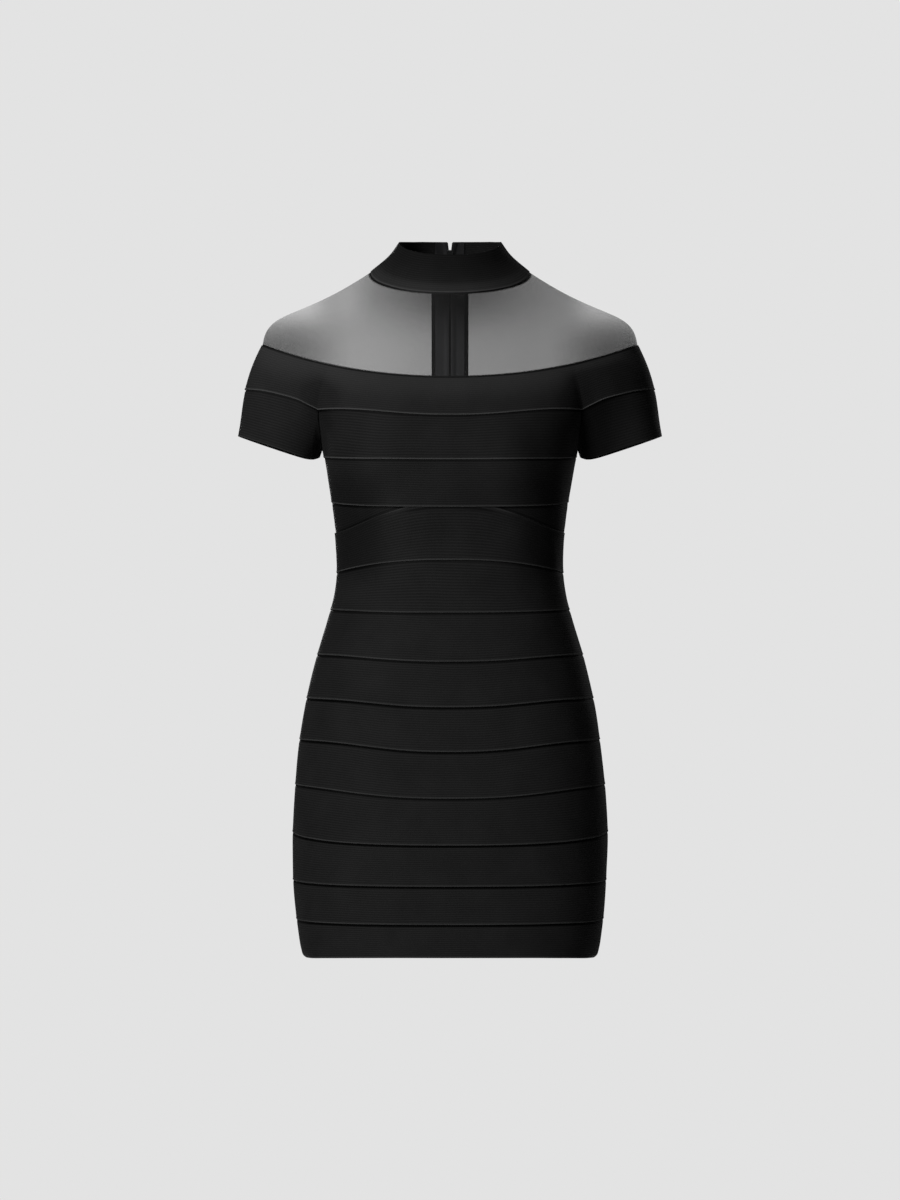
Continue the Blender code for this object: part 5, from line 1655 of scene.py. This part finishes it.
def rod(centre, radius, length, axis):
    """A round bar with broken ends; axis is x or y."""
    turn = (0.0, math.pi / 2, 0.0) if axis == "x" else (math.pi / 2, 0.0, 0.0)
    bpy.ops.object.select_all(action="DESELECT")
    bpy.ops.mesh.primitive_cylinder_add(vertices=ROD["sides"], radius=radius, depth=length,
                                        location=centre, rotation=turn)
    made = bpy.context.object
    bpy.ops.object.transform_apply(location=True, rotation=True, scale=True)
    return broken_edges(made, ROD["edge"])


def united(name, pieces, placed):
    """Joins the pieces to one object in the dress's frame."""
    bpy.ops.object.select_all(action="DESELECT")
    for piece in pieces:
        piece.select_set(True)
    bpy.context.view_layer.objects.active = pieces[0]
    bpy.ops.object.join()
    made = bpy.context.object
    made.name = made.data.name = name
    made.data.transform(placed)
    made.data.update()
    bpy.ops.object.shade_smooth_by_angle(angle=SHARP)
    bpy.ops.object.select_all(action="DESELECT")
    return made


def slider(placed):
    """The slider: two plates, the wedge between them that parts the coil, and the bridge."""
    pieces = slider_plate(PLATE["outer"], 1) + slider_plate(PLATE["inner"], -1)
    middle = (PLATE["outer"] + PLATE["inner"]) / 2
    thick = PLATE["outer"] - PLATE["inner"] + POST["past"]
    post = block((0.0, PLATE["middle"] + POST["above"], middle),
                 (POST["wide"], POST["long"], thick))
    select(post, "FACE", lambda at, way: way.y < -SQUARELY)
    bpy.ops.transform.resize(value=(POST["taper"], 1.0, 1.0), center_override=(0.0, 0.0, 0.0))
    bpy.ops.object.mode_set(mode="OBJECT")
    pieces += [broken_edges(post, POST["edge"]), bridge()]
    return dress(united("zip_slider_cast", pieces, placed), "zip_slider", METAL_LOOK)


def pull(placed):
    """A flat tab with a sunk field on both faces, hung from a crossbar on two arms."""
    along, out = PIVOT["along"], PIVOT["out"]
    tab = block((0.0, along + TAB["at"], out), (TAB["wide"], TAB["long"], TAB["thick"]))
    select(tab, "FACE", lambda at, way: way.y > SQUARELY)
    bpy.ops.transform.resize(value=(TAB["taper"], 1.0, 1.0), center_override=(0.0, 0.0, 0.0))
    foot, head = along - TAB["foot"], along - TAB["head"]
    select(tab, "EDGE", lambda at, way: abs(way.z) > SQUARELY and at.y < foot)
    bpy.ops.mesh.bevel(offset=TAB["foot_corner"], segments=6, affect="EDGES")
    bpy.ops.object.mode_set(mode="OBJECT")
    select(tab, "EDGE", lambda at, way: abs(way.z) > SQUARELY and at.y > head)
    bpy.ops.mesh.bevel(offset=TAB["head_corner"], segments=4, affect="EDGES")
    bpy.ops.object.mode_set(mode="OBJECT")
    select(tab, "FACE", lambda at, way: abs(way.z) > SQUARELY)
    bpy.ops.mesh.inset(thickness=TAB["border"], depth=0.0)
    bpy.ops.mesh.inset(thickness=TAB["bank"], depth=-TAB["sunk"])
    bpy.ops.object.mode_set(mode="OBJECT")
    pieces = [broken_edges(tab, TAB["edge"])]
    for side in (1, -1):
        centre = (side * ARM["out"], along - ARM["below"], out)
        pieces.append(rod(centre, ARM["radius"], ARM["long"], "y"))
    pieces.append(rod((0.0, along, out), BAR["radius"], BAR["long"], "x"))
    return dress(united("zip_pull_cast", pieces, placed), "zip_pull", METAL_LOOK,
                 body="pull")


# ---- building the pieces -------------------------------------------------------------------------


collar()
yokes()
for side in (1, -1):
    placket(side)
neckline_band()
bust_band()
for side in (1, -1):
    wedge(side)
    sleeve(side)
waist_band()
for row in BANDS:
    plain_band(row)
for side in (1, -1):
    tape(side)
coil()
slider_place = slider_axes()
slider(slider_place)
pull(slider_place)
